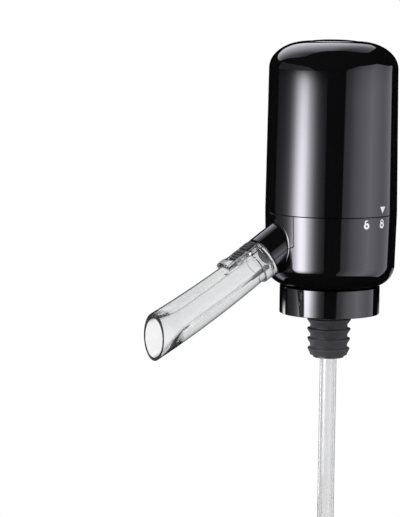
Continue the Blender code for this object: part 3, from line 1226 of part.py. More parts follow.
def contact_strip(name, first, last, plate_bottom, cone_height, direction, look):
    """A sheet strip bent round the drum, with a raised contact over each cell that it joins."""
    angles = cell_angles()
    start = angles[first]
    end = angles[last]
    half = (end - start) / 2 + CONTACT_END_ANGLE
    inner = CELL_PLACE_RADIUS - CONTACT_WIDTH / 2
    outer = CELL_PLACE_RADIUS + CONTACT_WIDTH / 2
    strip = arc_block(name, inner, outer, plate_bottom, plate_bottom + CONTACT_PLATE, (start + end) / 2,
                      half, 6 if last > first else 2)
    base = plate_bottom + CONTACT_PLATE / 2
    tip = plate_bottom - cone_height if direction < 0 else plate_bottom + CONTACT_PLATE + cone_height
    for index in range(first, last + 1):
        outline = [(0.0, base), (CONTACT_CONE_RADIUS, base), (CONTACT_TIP_RADIUS, tip), (0.0, tip)]
        cone = turned("cone", outline, SMALL_SIDES)
        place = polar(CELL_PLACE_RADIUS, angles[index])
        shift(cone, place[0], place[1])
        join(strip, cone)
    return finish(strip, look)


def make_contacts(look):
    for index in range(3):
        contact_strip("contact_lower_%d" % (index + 1), 2 * index, 2 * index + 1,
                      LOWER_CONTACT_BOTTOM, CONTACT_CONE_HEIGHT, 1, look)
    spans = ((0, 0), (1, 2), (3, 4), (5, 5))
    for index, span in enumerate(spans):
        contact_strip("contact_upper_%d" % (index + 1), span[0], span[1],
                      UPPER_CONTACT_BOTTOM, CONTACT_BUMP_HEIGHT, -1, look)


def make_pump(cap_look, rubber_look, housing_look):
    cap_top = PUMP_BOTTOM + PUMP_CAP_HEIGHT
    cap = cylinder("pump_cap", PUMP_RADIUS, PUMP_BOTTOM, cap_top, WIDE_SIDES)
    line = (AIR_LINE_OFFSET, 0.0)
    nipple_bottom = PUMP_BOTTOM - AIR_NIPPLE_LENGTH
    join(cap, cylinder("nipple", AIR_NIPPLE_RADIUS, nipple_bottom, PUMP_BOTTOM + PUMP_CAP_HEIGHT / 2,
                       SMALL_SIDES, line))
    cut(cap, cylinder("bore", AIR_BORE_RADIUS, nipple_bottom - CUT_OVERRUN, cap_top + CUT_OVERRUN,
                      SMALL_SIDES, line))
    finish(cap, cap_look)
    sheet_top = DIAPHRAGM_BOTTOM + DIAPHRAGM_SHEET
    diaphragm = cylinder("pump_diaphragm", PUMP_RADIUS, DIAPHRAGM_BOTTOM, sheet_top, WIDE_SIDES)
    cup_place = (PUMP_RADIUS - PUMP_WALL) / 2 + FIT_GAP
    cup_root = DIAPHRAGM_BOTTOM + DIAPHRAGM_SHEET / 2
    cup_top = sheet_top + DIAPHRAGM_CUP_HEIGHT
    cup = [(0.0, cup_root), (DIAPHRAGM_CUP_RADIUS, cup_root),
           (DIAPHRAGM_CUP_RADIUS, sheet_top + DIAPHRAGM_CUP_HEIGHT / 2),
           (DIAPHRAGM_CUP_RADIUS / 2, cup_top), (0.0, cup_top)]
    for index in range(DIAPHRAGM_CUP_COUNT):
        place = polar(cup_place, math.pi + 2 * math.pi * index / DIAPHRAGM_CUP_COUNT)
        dome = turned("cup", cup, SMALL_SIDES)
        shift(dome, place[0], place[1])
        join(diaphragm, dome)
    finish(diaphragm, rubber_look)
    chamber_inner = PUMP_RADIUS - PUMP_WALL
    chamber_roof = CHAMBER_TOP - PUMP_WALL
    boss_hole = MOTOR_BOSS_RADIUS + FIT_GAP
    outline = [(chamber_inner, CHAMBER_BOTTOM), (PUMP_RADIUS, CHAMBER_BOTTOM), (PUMP_RADIUS, CHAMBER_TOP),
               (boss_hole, CHAMBER_TOP), (boss_hole, chamber_roof), (chamber_inner, chamber_roof)]
    finish(turned("pump_housing", outline, WIDE_SIDES), housing_look)


def make_motor(can_look, cap_look, shaft_look, crank_look, sleeve_look):
    boss_bottom = CHAMBER_TOP - PUMP_WALL
    shaft_hole = MOTOR_SHAFT_RADIUS + FIT_GAP
    shaft_top = MOTOR_BOTTOM + MOTOR_SHAFT_DEPTH
    can = [(shaft_hole, boss_bottom), (MOTOR_BOSS_RADIUS, boss_bottom), (MOTOR_BOSS_RADIUS, MOTOR_BOTTOM),
           (MOTOR_RADIUS, MOTOR_BOTTOM), (MOTOR_RADIUS, MOTOR_TOP), (0.0, MOTOR_TOP),
           (0.0, shaft_top + FIT_GAP), (shaft_hole, shaft_top + FIT_GAP)]
    finish(turned("motor_can", can, WIDE_SIDES), can_look)
    end_cap = cylinder("motor_end_cap", MOTOR_RADIUS, MOTOR_CAP_BOTTOM, MOTOR_CAP_TOP, WIDE_SIDES)
    for side in (-1, 1):
        join(end_cap, cylinder("terminal", TERMINAL_RADIUS, MOTOR_CAP_TOP - MOTOR_CAP_HEIGHT / 2,
                               MOTOR_CAP_TOP + TERMINAL_HEIGHT, SMALL_SIDES, (0.0, side * TERMINAL_OFFSET)))
    finish(end_cap, cap_look)
    sleeve_bottom = MOTOR_BOTTOM + (MOTOR_LENGTH - MOTOR_SLEEVE_LENGTH) / 2
    finish(tube("motor_sleeve", MOTOR_RADIUS + FIT_GAP, WELL_RADIUS - FIT_GAP, sleeve_bottom,
                sleeve_bottom + MOTOR_SLEEVE_LENGTH, WIDE_SIDES), sleeve_look)
    crank_bottom = CRANK_TOP - CRANK_HEIGHT
    shaft = cylinder("motor_shaft", MOTOR_SHAFT_RADIUS, crank_bottom - FIT_GAP, shaft_top, SMALL_SIDES)
    put_origin(shaft, Vector((0.0, 0.0, crank_bottom)))
    finish(shaft, shaft_look)
    wheel = [(shaft_hole, crank_bottom), (CRANK_RADIUS, crank_bottom), (CRANK_RADIUS, CRANK_TOP),
             (shaft_hole, CRANK_TOP)]
    crank = turned("crank_wheel", wheel, ROUND_SIDES)
    join(crank, cylinder("pin", CRANK_PIN_RADIUS, crank_bottom - CRANK_PIN_LENGTH,
                         crank_bottom + CRANK_HEIGHT / 2, SMALL_SIDES, (CRANK_THROW, 0.0)))
    put_origin(crank, Vector((0.0, 0.0, crank_bottom)))
    finish(crank, crank_look)


def make_board(board_look, switch_look, chip_look, screw_look, red_look, black_look):
    board = cylinder("circuit_board", BOARD_RADIUS, BOARD_BOTTOM, BOARD_TOP, WIDE_SIDES)
    screw_tip = BOARD_TOP + FIT_GAP - BOARD_SCREW_LENGTH
    head_bottom = BOARD_TOP + FIT_GAP
    head_top = head_bottom + BOARD_SCREW_HEAD_HEIGHT
    outline = [(0.0, screw_tip), (BOARD_SCREW_RADIUS, screw_tip), (BOARD_SCREW_RADIUS, head_bottom),
               (BOARD_SCREW_HEAD_RADIUS, head_bottom), (BOARD_SCREW_HEAD_RADIUS, head_top), (0.0, head_top)]
    for index, side in enumerate((-1, 1)):
        place = side * BOARD_SCREW_PLACE
        cut(board, cylinder("hole", BOARD_SCREW_RADIUS + FIT_GAP, BOARD_BOTTOM - CUT_OVERRUN,
                            BOARD_TOP + CUT_OVERRUN, SMALL_SIDES, (0.0, place)))
        screw = turned("board_screw_%d" % (index + 1), outline, SMALL_SIDES)
        shift(screw, 0.0, place)
        finish(screw, screw_look)
    finish(board, board_look)
    half = SWITCH_WIDTH / 2
    switch = block("tact_switch", (-half, -half, SWITCH_BOTTOM), (half, half, SWITCH_TOP))
    join(switch, cylinder("plunger", SWITCH_PLUNGER_RADIUS, SWITCH_TOP - SWITCH_HEIGHT / 2, PLUNGER_TOP,
                          SMALL_SIDES))
    finish(switch, switch_look)
    finish(block("control_chip", (CHIP_PLACE - CHIP_LENGTH / 2, -CHIP_WIDTH / 2, SWITCH_BOTTOM),
                 (CHIP_PLACE + CHIP_LENGTH / 2, CHIP_WIDTH / 2, SWITCH_BOTTOM + CHIP_HEIGHT)), chip_look)
    lead_bottom = MOTOR_CAP_TOP + TERMINAL_HEIGHT + FIT_GAP
    lead_top = BOARD_BOTTOM - FIT_GAP
    for name, side, look in (("lead_red", -1, red_look), ("lead_black", 1, black_look)):
        place = (0.0, side * TERMINAL_OFFSET)
        finish(cylinder(name, LEAD_RADIUS, lead_bottom, lead_top, SMALL_SIDES, place), look)


def build():
    clear_scene()
    gloss = material("black_gloss_abs", PLASTIC_BLACK, 0.12)
    matt = material("black_matt_abs", PLASTIC_MATT, 0.55)
    clear = material("clear_acrylic", PLASTIC_CLEAR, 0.03, transmission=1.0)
    grey = material("grey_nylon", PLASTIC_GREY, 0.5)
    rubber = material("dark_silicone", RUBBER_GREY, 0.75)
    hose = material("clear_silicone", RUBBER_CLEAR, 0.4)
    steel = material("bright_steel", STEEL, 0.3, metallic=1.0)
    nickel = material("nickel_plate", NICKEL, 0.35, metallic=1.0)
    cell = material("battery_jacket", CELL_GREEN, 0.4)
    board = material("board_laminate", BOARD_GREEN, 0.5)
    red = material("red_insulation", WIRE_RED, 0.5)
    black = material("black_insulation", WIRE_BLACK, 0.5)
    make_upper_shell(gloss)
    make_button_guide(matt)
    make_power_button(gloss)
    make_button_spring(steel)
    make_lower_housing(gloss)
    make_neck_cover(gloss)
    make_bottle_collar(gloss)
    make_collar_screws(steel)
    make_port_block(matt)
    make_bottle_stopper(rubber)
    make_hoses(hose, hose)
    make_intake(clear, rubber, matt)
    make_nozzle(matt)
    make_spout(clear)
    make_spout_seal(rubber)
    make_latch(matt, steel, steel)
    make_battery_carrier(matt)
    make_carrier_screws(steel)
    make_cells(cell)
    make_contacts(nickel)
    make_pump(matt, rubber, grey)
    make_motor(steel, matt, steel, grey, rubber)
    make_board(board, matt, matt, steel, red, black)


build()
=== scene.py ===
# %% [markdown]
# # Electric aerator
#
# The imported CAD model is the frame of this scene. Every object is in metres and
# stands where the CAD puts it, so nothing has to be fitted or scaled here. The
# pieces that show are made again, smoother, in the places of their CAD nodes.

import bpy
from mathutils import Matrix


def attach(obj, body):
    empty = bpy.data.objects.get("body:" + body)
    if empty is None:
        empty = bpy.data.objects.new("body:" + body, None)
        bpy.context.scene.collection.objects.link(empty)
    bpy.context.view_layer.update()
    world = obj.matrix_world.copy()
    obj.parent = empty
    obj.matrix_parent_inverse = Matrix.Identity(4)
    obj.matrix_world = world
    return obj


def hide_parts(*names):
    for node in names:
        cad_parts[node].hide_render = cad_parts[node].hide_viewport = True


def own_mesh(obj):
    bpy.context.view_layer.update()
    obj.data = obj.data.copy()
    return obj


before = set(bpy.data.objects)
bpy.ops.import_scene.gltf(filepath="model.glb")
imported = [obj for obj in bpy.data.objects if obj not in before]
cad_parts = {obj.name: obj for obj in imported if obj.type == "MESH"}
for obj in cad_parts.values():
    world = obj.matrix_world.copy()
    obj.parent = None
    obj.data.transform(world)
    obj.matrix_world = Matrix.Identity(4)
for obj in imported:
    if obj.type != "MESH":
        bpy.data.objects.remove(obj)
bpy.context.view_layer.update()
print("nodes:", len(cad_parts))

# %% [markdown]
# ## Tools of this lesson
#
# Blender's own modules make the meshes and the materials. Sizes are written in
# millimetres, as on a drawing, and turned to metres when a mesh becomes an object.

# %% Modules and the unit
import math

import bmesh
import bpy
from mathutils import Euler, Matrix, Vector

MM = 0.001


def new_object(name, data):
    """Put a mesh, a lens or a lamp into the scene."""
    thing = bpy.data.objects.new(name, data)
    bpy.context.scene.collection.objects.link(thing)
    return thing


print("one millimetre is", MM, "m")

# %% [markdown]
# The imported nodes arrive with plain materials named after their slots. The names are
# kept, and the plain materials make room for the ones that this lesson builds.

# %% Slots of the nodes
slots = {name: node.data.materials[0].name for name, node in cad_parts.items()}
for plain in list(bpy.data.materials):
    bpy.data.materials.remove(plain)
print("slots:", sorted(set(slots.values())))

# %% [markdown]
# ## Camera
#
# The camera stands where the silhouettes of the shell, collar, neck and spout put
# it: 1.1 m away, a little above the object, and turned about 32 degrees round it.
# It is aimed at a point on the axis and then turned a little, which moves the
# object to its place in the frame without any lens shift.

# %% Camera
CAMERA_PLACE = Vector((-577.5, -931.1, 147.5)) * MM
CAMERA_AIM = Vector((0, 0, 50)) * MM
CAMERA_TURN = Euler([math.radians(angle) for angle in (-1.866, 2.858, 0.983)], "ZXY")

lens = bpy.data.cameras.new("camera")
lens.lens = 181.6
lens.sensor_fit = "VERTICAL"
lens.sensor_height = 36
camera = new_object("camera", lens)
aim = (CAMERA_AIM - CAMERA_PLACE).to_track_quat("-Z", "Y").to_matrix()
camera.matrix_world = (Matrix.Translation(CAMERA_PLACE)
                       @ (aim @ CAMERA_TURN.to_matrix()).to_4x4())
bpy.context.scene.camera = camera
print("camera stands at", [round(value, 3) for value in CAMERA_PLACE], "m")

# %% [markdown]
# ## Meshes
#
# Nearly every moulding here is a turned shape: a half section that goes once round
# an axis. Corners in a section can carry a third number, their edge radius, because
# no moulded edge is sharp and the thin highlight along it tells the eye so.

# %% From a bmesh to a piece
ON_AXIS = 0.001


def as_object(name, shape):
    """Write a bmesh to a new object."""
    mesh = bpy.data.meshes.new(name)
    shape.to_mesh(mesh)
    shape.free()
    return new_object(name, mesh)


def new_piece(name, shape, place=None):
    """Turn a bmesh in millimetres into an object in metres."""
    bmesh.ops.recalc_face_normals(shape, faces=shape.faces)
    whole = Matrix.Scale(MM, 4) @ (place or Matrix.Identity(4))
    bmesh.ops.transform(shape, matrix=whole, verts=shape.verts)
    return as_object(name, shape)


def soft_corners(outline, steps=3):
    """Round each corner of a closed outline that carries an edge radius."""
    points = []
    for index, corner in enumerate(outline):
        here = Vector(corner[:2])
        if len(corner) == 2:
            points.append(here)
            continue
        back = (Vector(outline[index - 1][:2]) - here).normalized()
        ahead = (Vector(outline[(index + 1) % len(outline)][:2]) - here).normalized()
        reach = corner[2] / math.tan(back.angle(ahead) / 2)
        for step in range(steps + 1):
            share = step / steps
            points.append(here + back * reach * (1 - share) ** 2 + ahead * reach * share ** 2)
    return points


def polar(radius, degrees):
    """A point at an angle round the axis."""
    turn = math.radians(degrees)
    return radius * math.cos(turn), radius * math.sin(turn)


def arc(centre, reach, rise, start, end, steps):
    """Points along part of an ellipse, angles in degrees from the outward direction."""
    angles = [math.radians(start + (end - start) * step / steps) for step in range(steps + 1)]
    return [(centre[0] + reach * math.cos(angle), centre[1] + rise * math.sin(angle))
            for angle in angles]


def turned(name, outline, sides, place=None, centre=(0, 0)):
    """Turn a closed outline of (radius, height) points once round an axis."""
    shape = bmesh.new()
    rings = []
    for radius, height in soft_corners(outline):
        circle = arc(centre, radius, radius, 0, 360, 1 if radius < ON_AXIS else sides)
        rings.append([shape.verts.new((x, y, height)) for x, y in circle[:-1]])
    for first, second in zip(rings, rings[1:] + rings[:1]):
        for side in range(sides):
            after = side + 1
            corners = dict.fromkeys((first[side % len(first)], first[after % len(first)],
                                     second[after % len(second)], second[side % len(second)]))
            if len(corners) > 2:
                shape.faces.new(list(corners))
    return new_piece(name, shape, place)


def rod(name, radius, bottom, top, sides, centre=(0, 0), place=None):
    """A plain round cutter or boss."""
    outline = [(0, bottom), (radius, bottom), (radius, top), (0, top)]
    return turned(name, outline, sides, place, centre)


def skin(shape, rings):
    """Faces across both ends of a row of closed rings, and between each two rings."""
    shape.faces.new(rings[0])
    shape.faces.new(rings[-1])
    for first, second in zip(rings, rings[1:]):
        for index in range(len(first)):
            shape.faces.new((first[index - 1], first[index], second[index], second[index - 1]))


def quads(shape, rows):
    """Faces between neighbouring rows of points."""
    for first, second in zip(rows, rows[1:]):
        for index in range(len(first) - 1):
            shape.faces.new((first[index], first[index + 1], second[index + 1], second[index]))


def prism(name, outline, bottom, top, place=None):
    """Extrude a closed (x, y) outline from one height to another."""
    shape = bmesh.new()
    skin(shape, [[shape.verts.new((x, y, height)) for x, y in soft_corners(outline)]
                 for height in (bottom, top)])
    return new_piece(name, shape, place)


def block(name, low, high, place=None):
    """A box between two corners, as a cutter."""
    (left, front, bottom), (right, back, top) = low, high
    outline = [(left, front), (right, front), (right, back), (left, back)]
    return prism(name, outline, bottom, top, place)


def bent_block(name, inner, outer, bottom, top, middle, half, steps):
    """A block bent round the upright axis, angles in degrees."""
    outline = arc((0, 0), outer, outer, middle - half, middle + half, steps)
    outline += arc((0, 0), inner, inner, middle + half, middle - half, steps)
    return prism(name, outline, bottom, top)


print("outline tools ready")

# %% [markdown]
# ## Joining and cutting
#
# Bosses, bores and slots are joined and cut with exact Booleans, as in the CAD, but
# on finer shapes. A Boolean leaves long thin faces on a round wall, and in a gloss
# surface their averaged normals would show as ripples. So each corner on a known
# wall gets that wall's true normal.

# %% Booleans and true normals
SAME_WALL = math.cos(math.radians(7))
ON_WALL = 0.05


def combine(piece, operation, tools):
    """One exact Boolean with several separate tools, which are dropped."""
    shape = bmesh.new()
    for tool in tools:
        shape.from_mesh(tool.data)
        bpy.data.objects.remove(tool)
    tool = as_object("tools", shape)
    step = piece.modifiers.new(operation, "BOOLEAN")
    step.operation = operation
    step.object = tool
    step.solver = "EXACT"
    apply_modifiers(piece)
    bpy.data.objects.remove(tool)
    return piece


def join(piece, *tools):
    """Add the tools to a piece."""
    return combine(piece, "UNION", tools)


def cut(piece, *tools):
    """Take the tools away from a piece."""
    return combine(piece, "DIFFERENCE", tools)


def keep(piece, tool):
    """Keep what a piece and a tool share."""
    return combine(piece, "INTERSECT", [tool])


def evaluated(piece):
    """A piece as its modifiers make it."""
    bpy.context.view_layer.update()
    return piece.evaluated_get(bpy.context.evaluated_depsgraph_get())


def apply_modifiers(piece):
    """Write a piece's modifiers into its mesh."""
    shape = bmesh.new()
    shape.from_mesh(bpy.data.meshes.new_from_object(evaluated(piece)))
    bmesh.ops.remove_doubles(shape, verts=shape.verts, dist=ON_AXIS * MM)
    bmesh.ops.dissolve_degenerate(shape, edges=shape.edges, dist=ON_AXIS * MM)
    piece.modifiers.clear()
    shape.to_mesh(piece.data)
    shape.free()


def shade(piece, walls=(), sharp=32):
    """Smooth shading with sharp edges kept, flat faces flat, and true normals on the walls."""
    mesh = piece.data
    mesh.shade_smooth()
    mesh.set_sharp_from_angle(angle=math.radians(sharp))
    weighted = piece.modifiers.new("flat faces stay flat", "WEIGHTED_NORMAL")
    weighted.keep_sharp = True
    normals = [Vector(corner.vector) for corner in evaluated(piece).data.corner_normals]
    piece.modifiers.clear()
    for face in mesh.polygons:
        for corner in face.loop_indices:
            point = mesh.vertices[mesh.loops[corner].vertex_index].co / MM
            for wall in walls:
                normal = wall(point)
                if normal is not None and normal.dot(face.normal) > SAME_WALL:
                    normals[corner] = normal
    mesh.normals_split_custom_set(normals)


def dress(piece, look, body, node, walls=(), sharp=32):
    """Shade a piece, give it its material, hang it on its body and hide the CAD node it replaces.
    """
    shade(piece, walls, sharp)
    piece.data.materials.clear()
    piece.data.materials.append(looks[look])
    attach(piece, body)
    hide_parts(node)
    print(piece.name, len(piece.data.polygons), "faces on", body)


print("Boolean tools ready")

# %% [markdown]
# ## Materials
#
# One function adds a node. Patterns are sized in millimetres and read the object's
# own coordinates, so that they move with a piece and need no UV map.

# %% Node tools
def fill(node, sockets):
    """Fill a node's sockets with values or links. A node stands for its first output."""
    for socket, value in sockets.items():
        if isinstance(value, bpy.types.Node):
            value = value.outputs[0]
        if isinstance(value, bpy.types.NodeSocket):
            node.id_data.links.new(value, node.inputs[socket])
        else:
            node.inputs[socket].default_value = value


def add(tree, kind, sockets={}, stops=(), **settings):
    """Add a node with its settings, the (place, colour) stops of its ramp and its sockets."""
    node = tree.nodes.new("ShaderNode" + kind)
    for name, value in settings.items():
        setattr(node, name, value)
    if stops:
        bands = node.color_ramp.elements
        bands[0].position, bands[0].color = stops[0]
        bands[1].position, bands[1].color = stops[-1]
        for place, colour in stops[1:-1]:
            bands.new(place).color = colour
    fill(node, sockets)
    return node


def linear(code):
    """A linear colour from an sRGB hex code."""
    shares = [int(code[place:place + 2], 16) / 255 for place in (1, 3, 5)]
    return [share / 12.92 if share <= 0.04045 else ((share + 0.055) / 1.055) ** 2.4
            for share in shares] + [1]


def between(dark, light):
    """The stops of a ramp from one hex colour to another."""
    return (0, linear(dark)), (1, linear(light))


def spread(rough, low=0.3, high=0.7):
    """Map the middle range of a noise to a range of roughness."""
    return {"From Min": low, "From Max": high, "To Min": rough[0], "To Max": rough[1]}


def per(size):
    """Texture scale at which one pattern cell is that many millimetres."""
    return 1 / (size * MM)


looks = {}


def start_material(name):
    """Add a look, and hand on its tree, its shader and the object's coordinates."""
    looks[name] = bpy.data.materials.new(name)
    looks[name].use_nodes = True
    tree = looks[name].node_tree
    return tree, tree.nodes["Principled BSDF"], add(tree, "TexCoord").outputs["Object"]


print("node tools ready")

# %% [markdown]
# ### Plastics, rubber and ink
#
# The casing is ABS moulded in a polished mould: deep black with mirror-like
# reflections, which wander slightly because the skin of a moulding is never quite
# flat. Inner parts come from a textured mould and look matt. Silicone is duller
# still, with a soft grain. All of them share one recipe: two close colours in wide
# patches, a roughness that varies a little, and a surface relief of a real size.

# %% Moulded materials
def moulded(name, dark, light, patch, rough, relief, depth, ior, sheen=0):
    """A moulded polymer: colour patches, varied roughness and a fine relief."""
    tree, shader, place = start_material(name)
    patches = add(tree, "TexNoise", {"Vector": place, "Scale": per(patch), "Detail": 3})
    smears = add(tree, "TexNoise", {"Vector": place, "Scale": per(patch / 3), "Detail": 5})
    grain = add(tree, "TexNoise", {"Vector": place, "Scale": per(relief), "Detail": 2})
    fill(shader, {
        "Base Color": add(tree, "ValToRGB", {"Fac": patches}, between(dark, light)),
        "Roughness": add(tree, "MapRange", {"Value": smears, **spread(rough)}),
        "Normal": add(tree, "Bump", {"Height": grain, "Distance": depth * MM}),
        "IOR": ior, "Sheen Weight": sheen})


for recipe in (
    ("black_gloss_abs", "#080809", "#0B0B0C", 18, (0.035, 0.07), 9, 0.0035, 1.54),
    ("black_matt_abs", "#141415", "#1B1B1D", 8, (0.42, 0.55), 0.5, 0.012, 1.54),
    ("grey_nylon", "#A3A5A8", "#B4B6B8", 6, (0.38, 0.5), 0.6, 0.01, 1.53),
    ("dark_silicone", "#2A2B2D", "#343538", 5, (0.5, 0.66), 0.4, 0.008, 1.41, 0.15),
    ("red_insulation", "#A81C1A", "#BC2622", 3, (0.36, 0.46), 0.5, 0.004, 1.5),
    ("black_insulation", "#161617", "#1F1F21", 3, (0.36, 0.46), 0.5, 0.004, 1.5),
    ("white_ink", "#E6E6E4", "#F2F2F0", 0.6, (0.45, 0.6), 0.12, 0.003, 1.5),
):
    moulded(*recipe)
print("moulded materials:", sorted(looks))

# %% [markdown]
# ### Clear parts
#
# The spout is clear acrylic, polished in the mould. What shows it is its edge: there
# the surface turns away and mirrors the dark sides of the studio, and there its colour
# is also darkened, a painted dark edge. A slight haze and faint flow lines along the
# moulding keep it from looking like empty air. The hoses are milky silicone, which
# scatters more than it lets through; their painted edge is a lighter grey.

# %% Clear materials
def clear_moulding(name, tint, edge, rough, relief, depth, ior):
    """A clear polymer with haze, flow lines and a painted dark edge."""
    tree, shader, place = start_material(name)
    stretch = add(tree, "Mapping", {"Vector": place, "Scale": (0.3, 1, 1)})
    haze = add(tree, "TexNoise", {"Vector": stretch, "Scale": per(5), "Detail": 4})
    flow = add(tree, "TexNoise", {"Vector": stretch, "Scale": per(relief)})
    # Painted dark edge: the colour turns from the tint to the darker edge colour where the surface
    # faces away from the view, standing in for dark reflections at the outline.
    facing = add(tree, "LayerWeight", {"Blend": 0.5}).outputs["Facing"]
    painted_dark_rim = ((0.42, linear(tint)), (0.8, linear(edge)))
    fill(shader, {
        "Base Color": add(tree, "ValToRGB", {"Fac": facing}, painted_dark_rim),
        "Roughness": add(tree, "MapRange", {"Value": haze, **spread(rough, 0.4, 0.75)}),
        "Normal": add(tree, "Bump", {"Height": flow, "Distance": depth * MM}),
        "IOR": ior, "Transmission Weight": 0.97})
    inside = add(tree, "VolumeAbsorption", {"Color": linear("#B8BCBE"), "Density": 35})
    fill(tree.nodes["Material Output"], {"Volume": inside})


# The second colour of each recipe is its painted dark edge.
for recipe in (
    ("clear_acrylic", "#FBFBFB", "#303335", (0.0, 0.02), 6, 0.0006, 1.49),
    ("clear_silicone", "#E9E9E4", "#A4A4A0", (0.3, 0.45), 1, 0.01, 1.41),
):
    clear_moulding(*recipe)
print("clear materials ready")

# %% [markdown]
# ### Metals
#
# Screws, springs and pins are bright steel with the fine lines that drawing or
# turning leaves. The motor's can is deep-drawn, zinc-plated sheet, and the contact
# strips are nickel-plated spring sheet. A metal's colour is its reflection, so the
# lines go into roughness and relief and hardly into colour.

# %% Metal materials
def drawn_metal(name, dark, light, rough, line, depth):
    """A metal with fine lines round its axis."""
    tree, shader, place = start_material(name)
    stretch = add(tree, "Mapping", {"Vector": place, "Scale": (0.1, 0.1, 1)})
    lines = add(tree, "TexNoise", {"Vector": stretch, "Scale": per(line), "Detail": 4})
    fill(shader, {
        "Base Color": add(tree, "ValToRGB", {"Fac": lines}, between(dark, light)),
        "Roughness": add(tree, "MapRange", {"Value": lines, **spread(rough)}),
        "Normal": add(tree, "Bump", {"Height": lines, "Distance": depth * MM}),
        "Metallic": 1})


for recipe in (
    ("bright_steel", "#BDBDBB", "#D2D2CF", (0.18, 0.32), 0.2, 0.002),
    ("motor_shell", "#B2B4B4", "#C8CACA", (0.28, 0.42), 0.3, 0.003),
    ("nickel_plate", "#C6C1B4", "#D8D3C6", (0.22, 0.36), 0.25, 0.002),
):
    drawn_metal(*recipe)
print("metal materials ready")

# %% [markdown]
# ### Cells and circuit board
#
# A cell has a printed plastic jacket round its side and bare nickel-plated steel at
# its ends. The face's direction tells which is which, because the ends are flat. The
# board is woven epoxy laminate under green lacquer, with thin raised tracks.

# %% Cell jacket and board lacquer
tree, shader, place = start_material("battery_jacket")
facing = add(tree, "SeparateXYZ", {"Vector": add(tree, "NewGeometry").outputs["True Normal"]})
upright = add(tree, "Math", {0: facing.outputs["Z"]}, operation="ABSOLUTE")
is_end = add(tree, "Math", {0: upright, 1: 0.5}, operation="GREATER_THAN")
mottle = add(tree, "TexNoise", {"Vector": place, "Scale": per(2), "Detail": 3})
jacket = add(tree, "ValToRGB", {"Fac": mottle}, between("#1E5A44", "#276B52"))
ends = add(tree, "Mix", {"Factor": is_end, "A": jacket, "B": linear("#CFCABD")},
           data_type="RGBA")
polish = add(tree, "MapRange", {"Value": mottle, "To Min": 0.25, "To Max": 0.4})
fill(shader, {"Base Color": ends.outputs["Result"], "Metallic": is_end,
              "Roughness": polish})

tree, shader, place = start_material("board_laminate")
tracks = add(tree, "TexBrick", {"Vector": place, "Scale": per(4), "Color1": linear("#1D5E34"),
                                "Color2": linear("#22683B"), "Mortar": linear("#2F7F4B"),
                                "Mortar Size": 0.04})
weave = add(tree, "TexNoise", {"Vector": place, "Scale": per(0.4), "Detail": 2})
polish = add(tree, "MapRange", {"Value": weave, "To Min": 0.25, "To Max": 0.45})
raised = add(tree, "Bump", {"Height": tracks.outputs["Fac"], "Distance": 0.03 * MM})
fill(shader, {"Base Color": tracks, "Roughness": polish, "Normal": raised})
print("materials:", len(looks))

# %% [markdown]
# ## Nodes that stay
#
# The inner pieces keep their CAD meshes, because their shapes are right and they are
# seen only when the object is taken apart. Each gets the material of its own slot.

# %% Materials for the CAD nodes
for name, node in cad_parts.items():
    node.data.materials.clear()
    node.data.materials.append(looks[slots[name]])
print("nodes with a new material:", len(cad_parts))

# %% [markdown]
# ## Upper shell
#
# The real shell is one deep gloss moulding: a drum with a slight draft, an elliptical
# shoulder and a round hole for the button. It could be a subdivided cylinder, but a
# turned section keeps the draft and the shoulder exact. The lugs of the bayonet and
# the pins that the button's guide is staked on are joined to its inside.

# %% Upper shell
BODY_SIDES = 144
BODY_RADIUS = 27.8
SEAM = 34.7
SHELL_BOTTOM = 35.0
SHOULDER = 95.2
SHOULDER_RADIUS = 27.1
SHOULDER_RISE = 11.3
HOLE_RADIUS = 11.0
SHELL_WALL = 1.8
CORNER_CENTRE = (18.2, 12.9)
CORNER_RADIUS = 9.0
LUG_ANGLES = (60, 180, 300)
SHELL_TAPER = (BODY_RADIUS - SHOULDER_RADIUS) / (SHOULDER - SEAM)
HOUSING_TAPER = (BODY_RADIUS - CORNER_CENTRE[0] - CORNER_RADIUS) / (SEAM - CORNER_CENTRE[1])


def wall_radius(height):
    """The casing's radius at a height on the shell's or the housing's straight wall."""
    if height > SEAM:
        return BODY_RADIUS - SHELL_TAPER * (height - SEAM)
    return BODY_RADIUS - HOUSING_TAPER * (SEAM - height)


def body_wall(point):
    """The casing's true normal at a point on its outside, or None off it."""
    radius = math.hypot(point.x, point.y)
    if point.z > SHOULDER:
        across = (radius - HOLE_RADIUS) / (SHOULDER_RADIUS - HOLE_RADIUS)
        rise = (point.z - SHOULDER) / SHOULDER_RISE
        miss = abs(math.hypot(across, rise) - 1) * SHOULDER_RISE
        slope = (across / (SHOULDER_RADIUS - HOLE_RADIUS), rise / SHOULDER_RISE)
    elif point.z > CORNER_CENTRE[1]:
        miss = abs(radius - wall_radius(point.z))
        slope = (1, SHELL_TAPER if point.z > SEAM else -HOUSING_TAPER)
    else:
        slope = (max(radius - CORNER_CENTRE[0], 0), point.z - CORNER_CENTRE[1])
        miss = abs(math.hypot(*slope) - CORNER_RADIUS)
    if miss > ON_WALL or radius < ON_WALL:
        return None
    across = slope[0] / radius
    return Vector((across * point.x, across * point.y, slope[1])).normalized()


outline = [(BODY_RADIUS, SHELL_BOTTOM, 0.1)]
outline += arc((HOLE_RADIUS, SHOULDER), SHOULDER_RADIUS - HOLE_RADIUS, SHOULDER_RISE, 0, 84, 26)
outline += [(HOLE_RADIUS, 106.5, 0.3)]
outline += arc((HOLE_RADIUS, SHOULDER), SHOULDER_RADIUS - SHELL_WALL - HOLE_RADIUS,
               SHOULDER_RISE - SHELL_WALL, 90, 0, 12)
outline += [(BODY_RADIUS - SHELL_WALL, SHELL_BOTTOM, 0.25)]
shell = turned("upper_shell_skin", outline, BODY_SIDES)
join(shell, *[bent_block("lug", 24.3, 26.9, 36.8, 38.5, angle, 8, 6) for angle in LUG_ANGLES],
     *[rod("pin", 1.1, 98.3, 104.5, 20, polar(16.1, angle)) for angle in LUG_ANGLES])
dress(shell, "black_gloss_abs", "top_cover", "upper_shell", [body_wall])

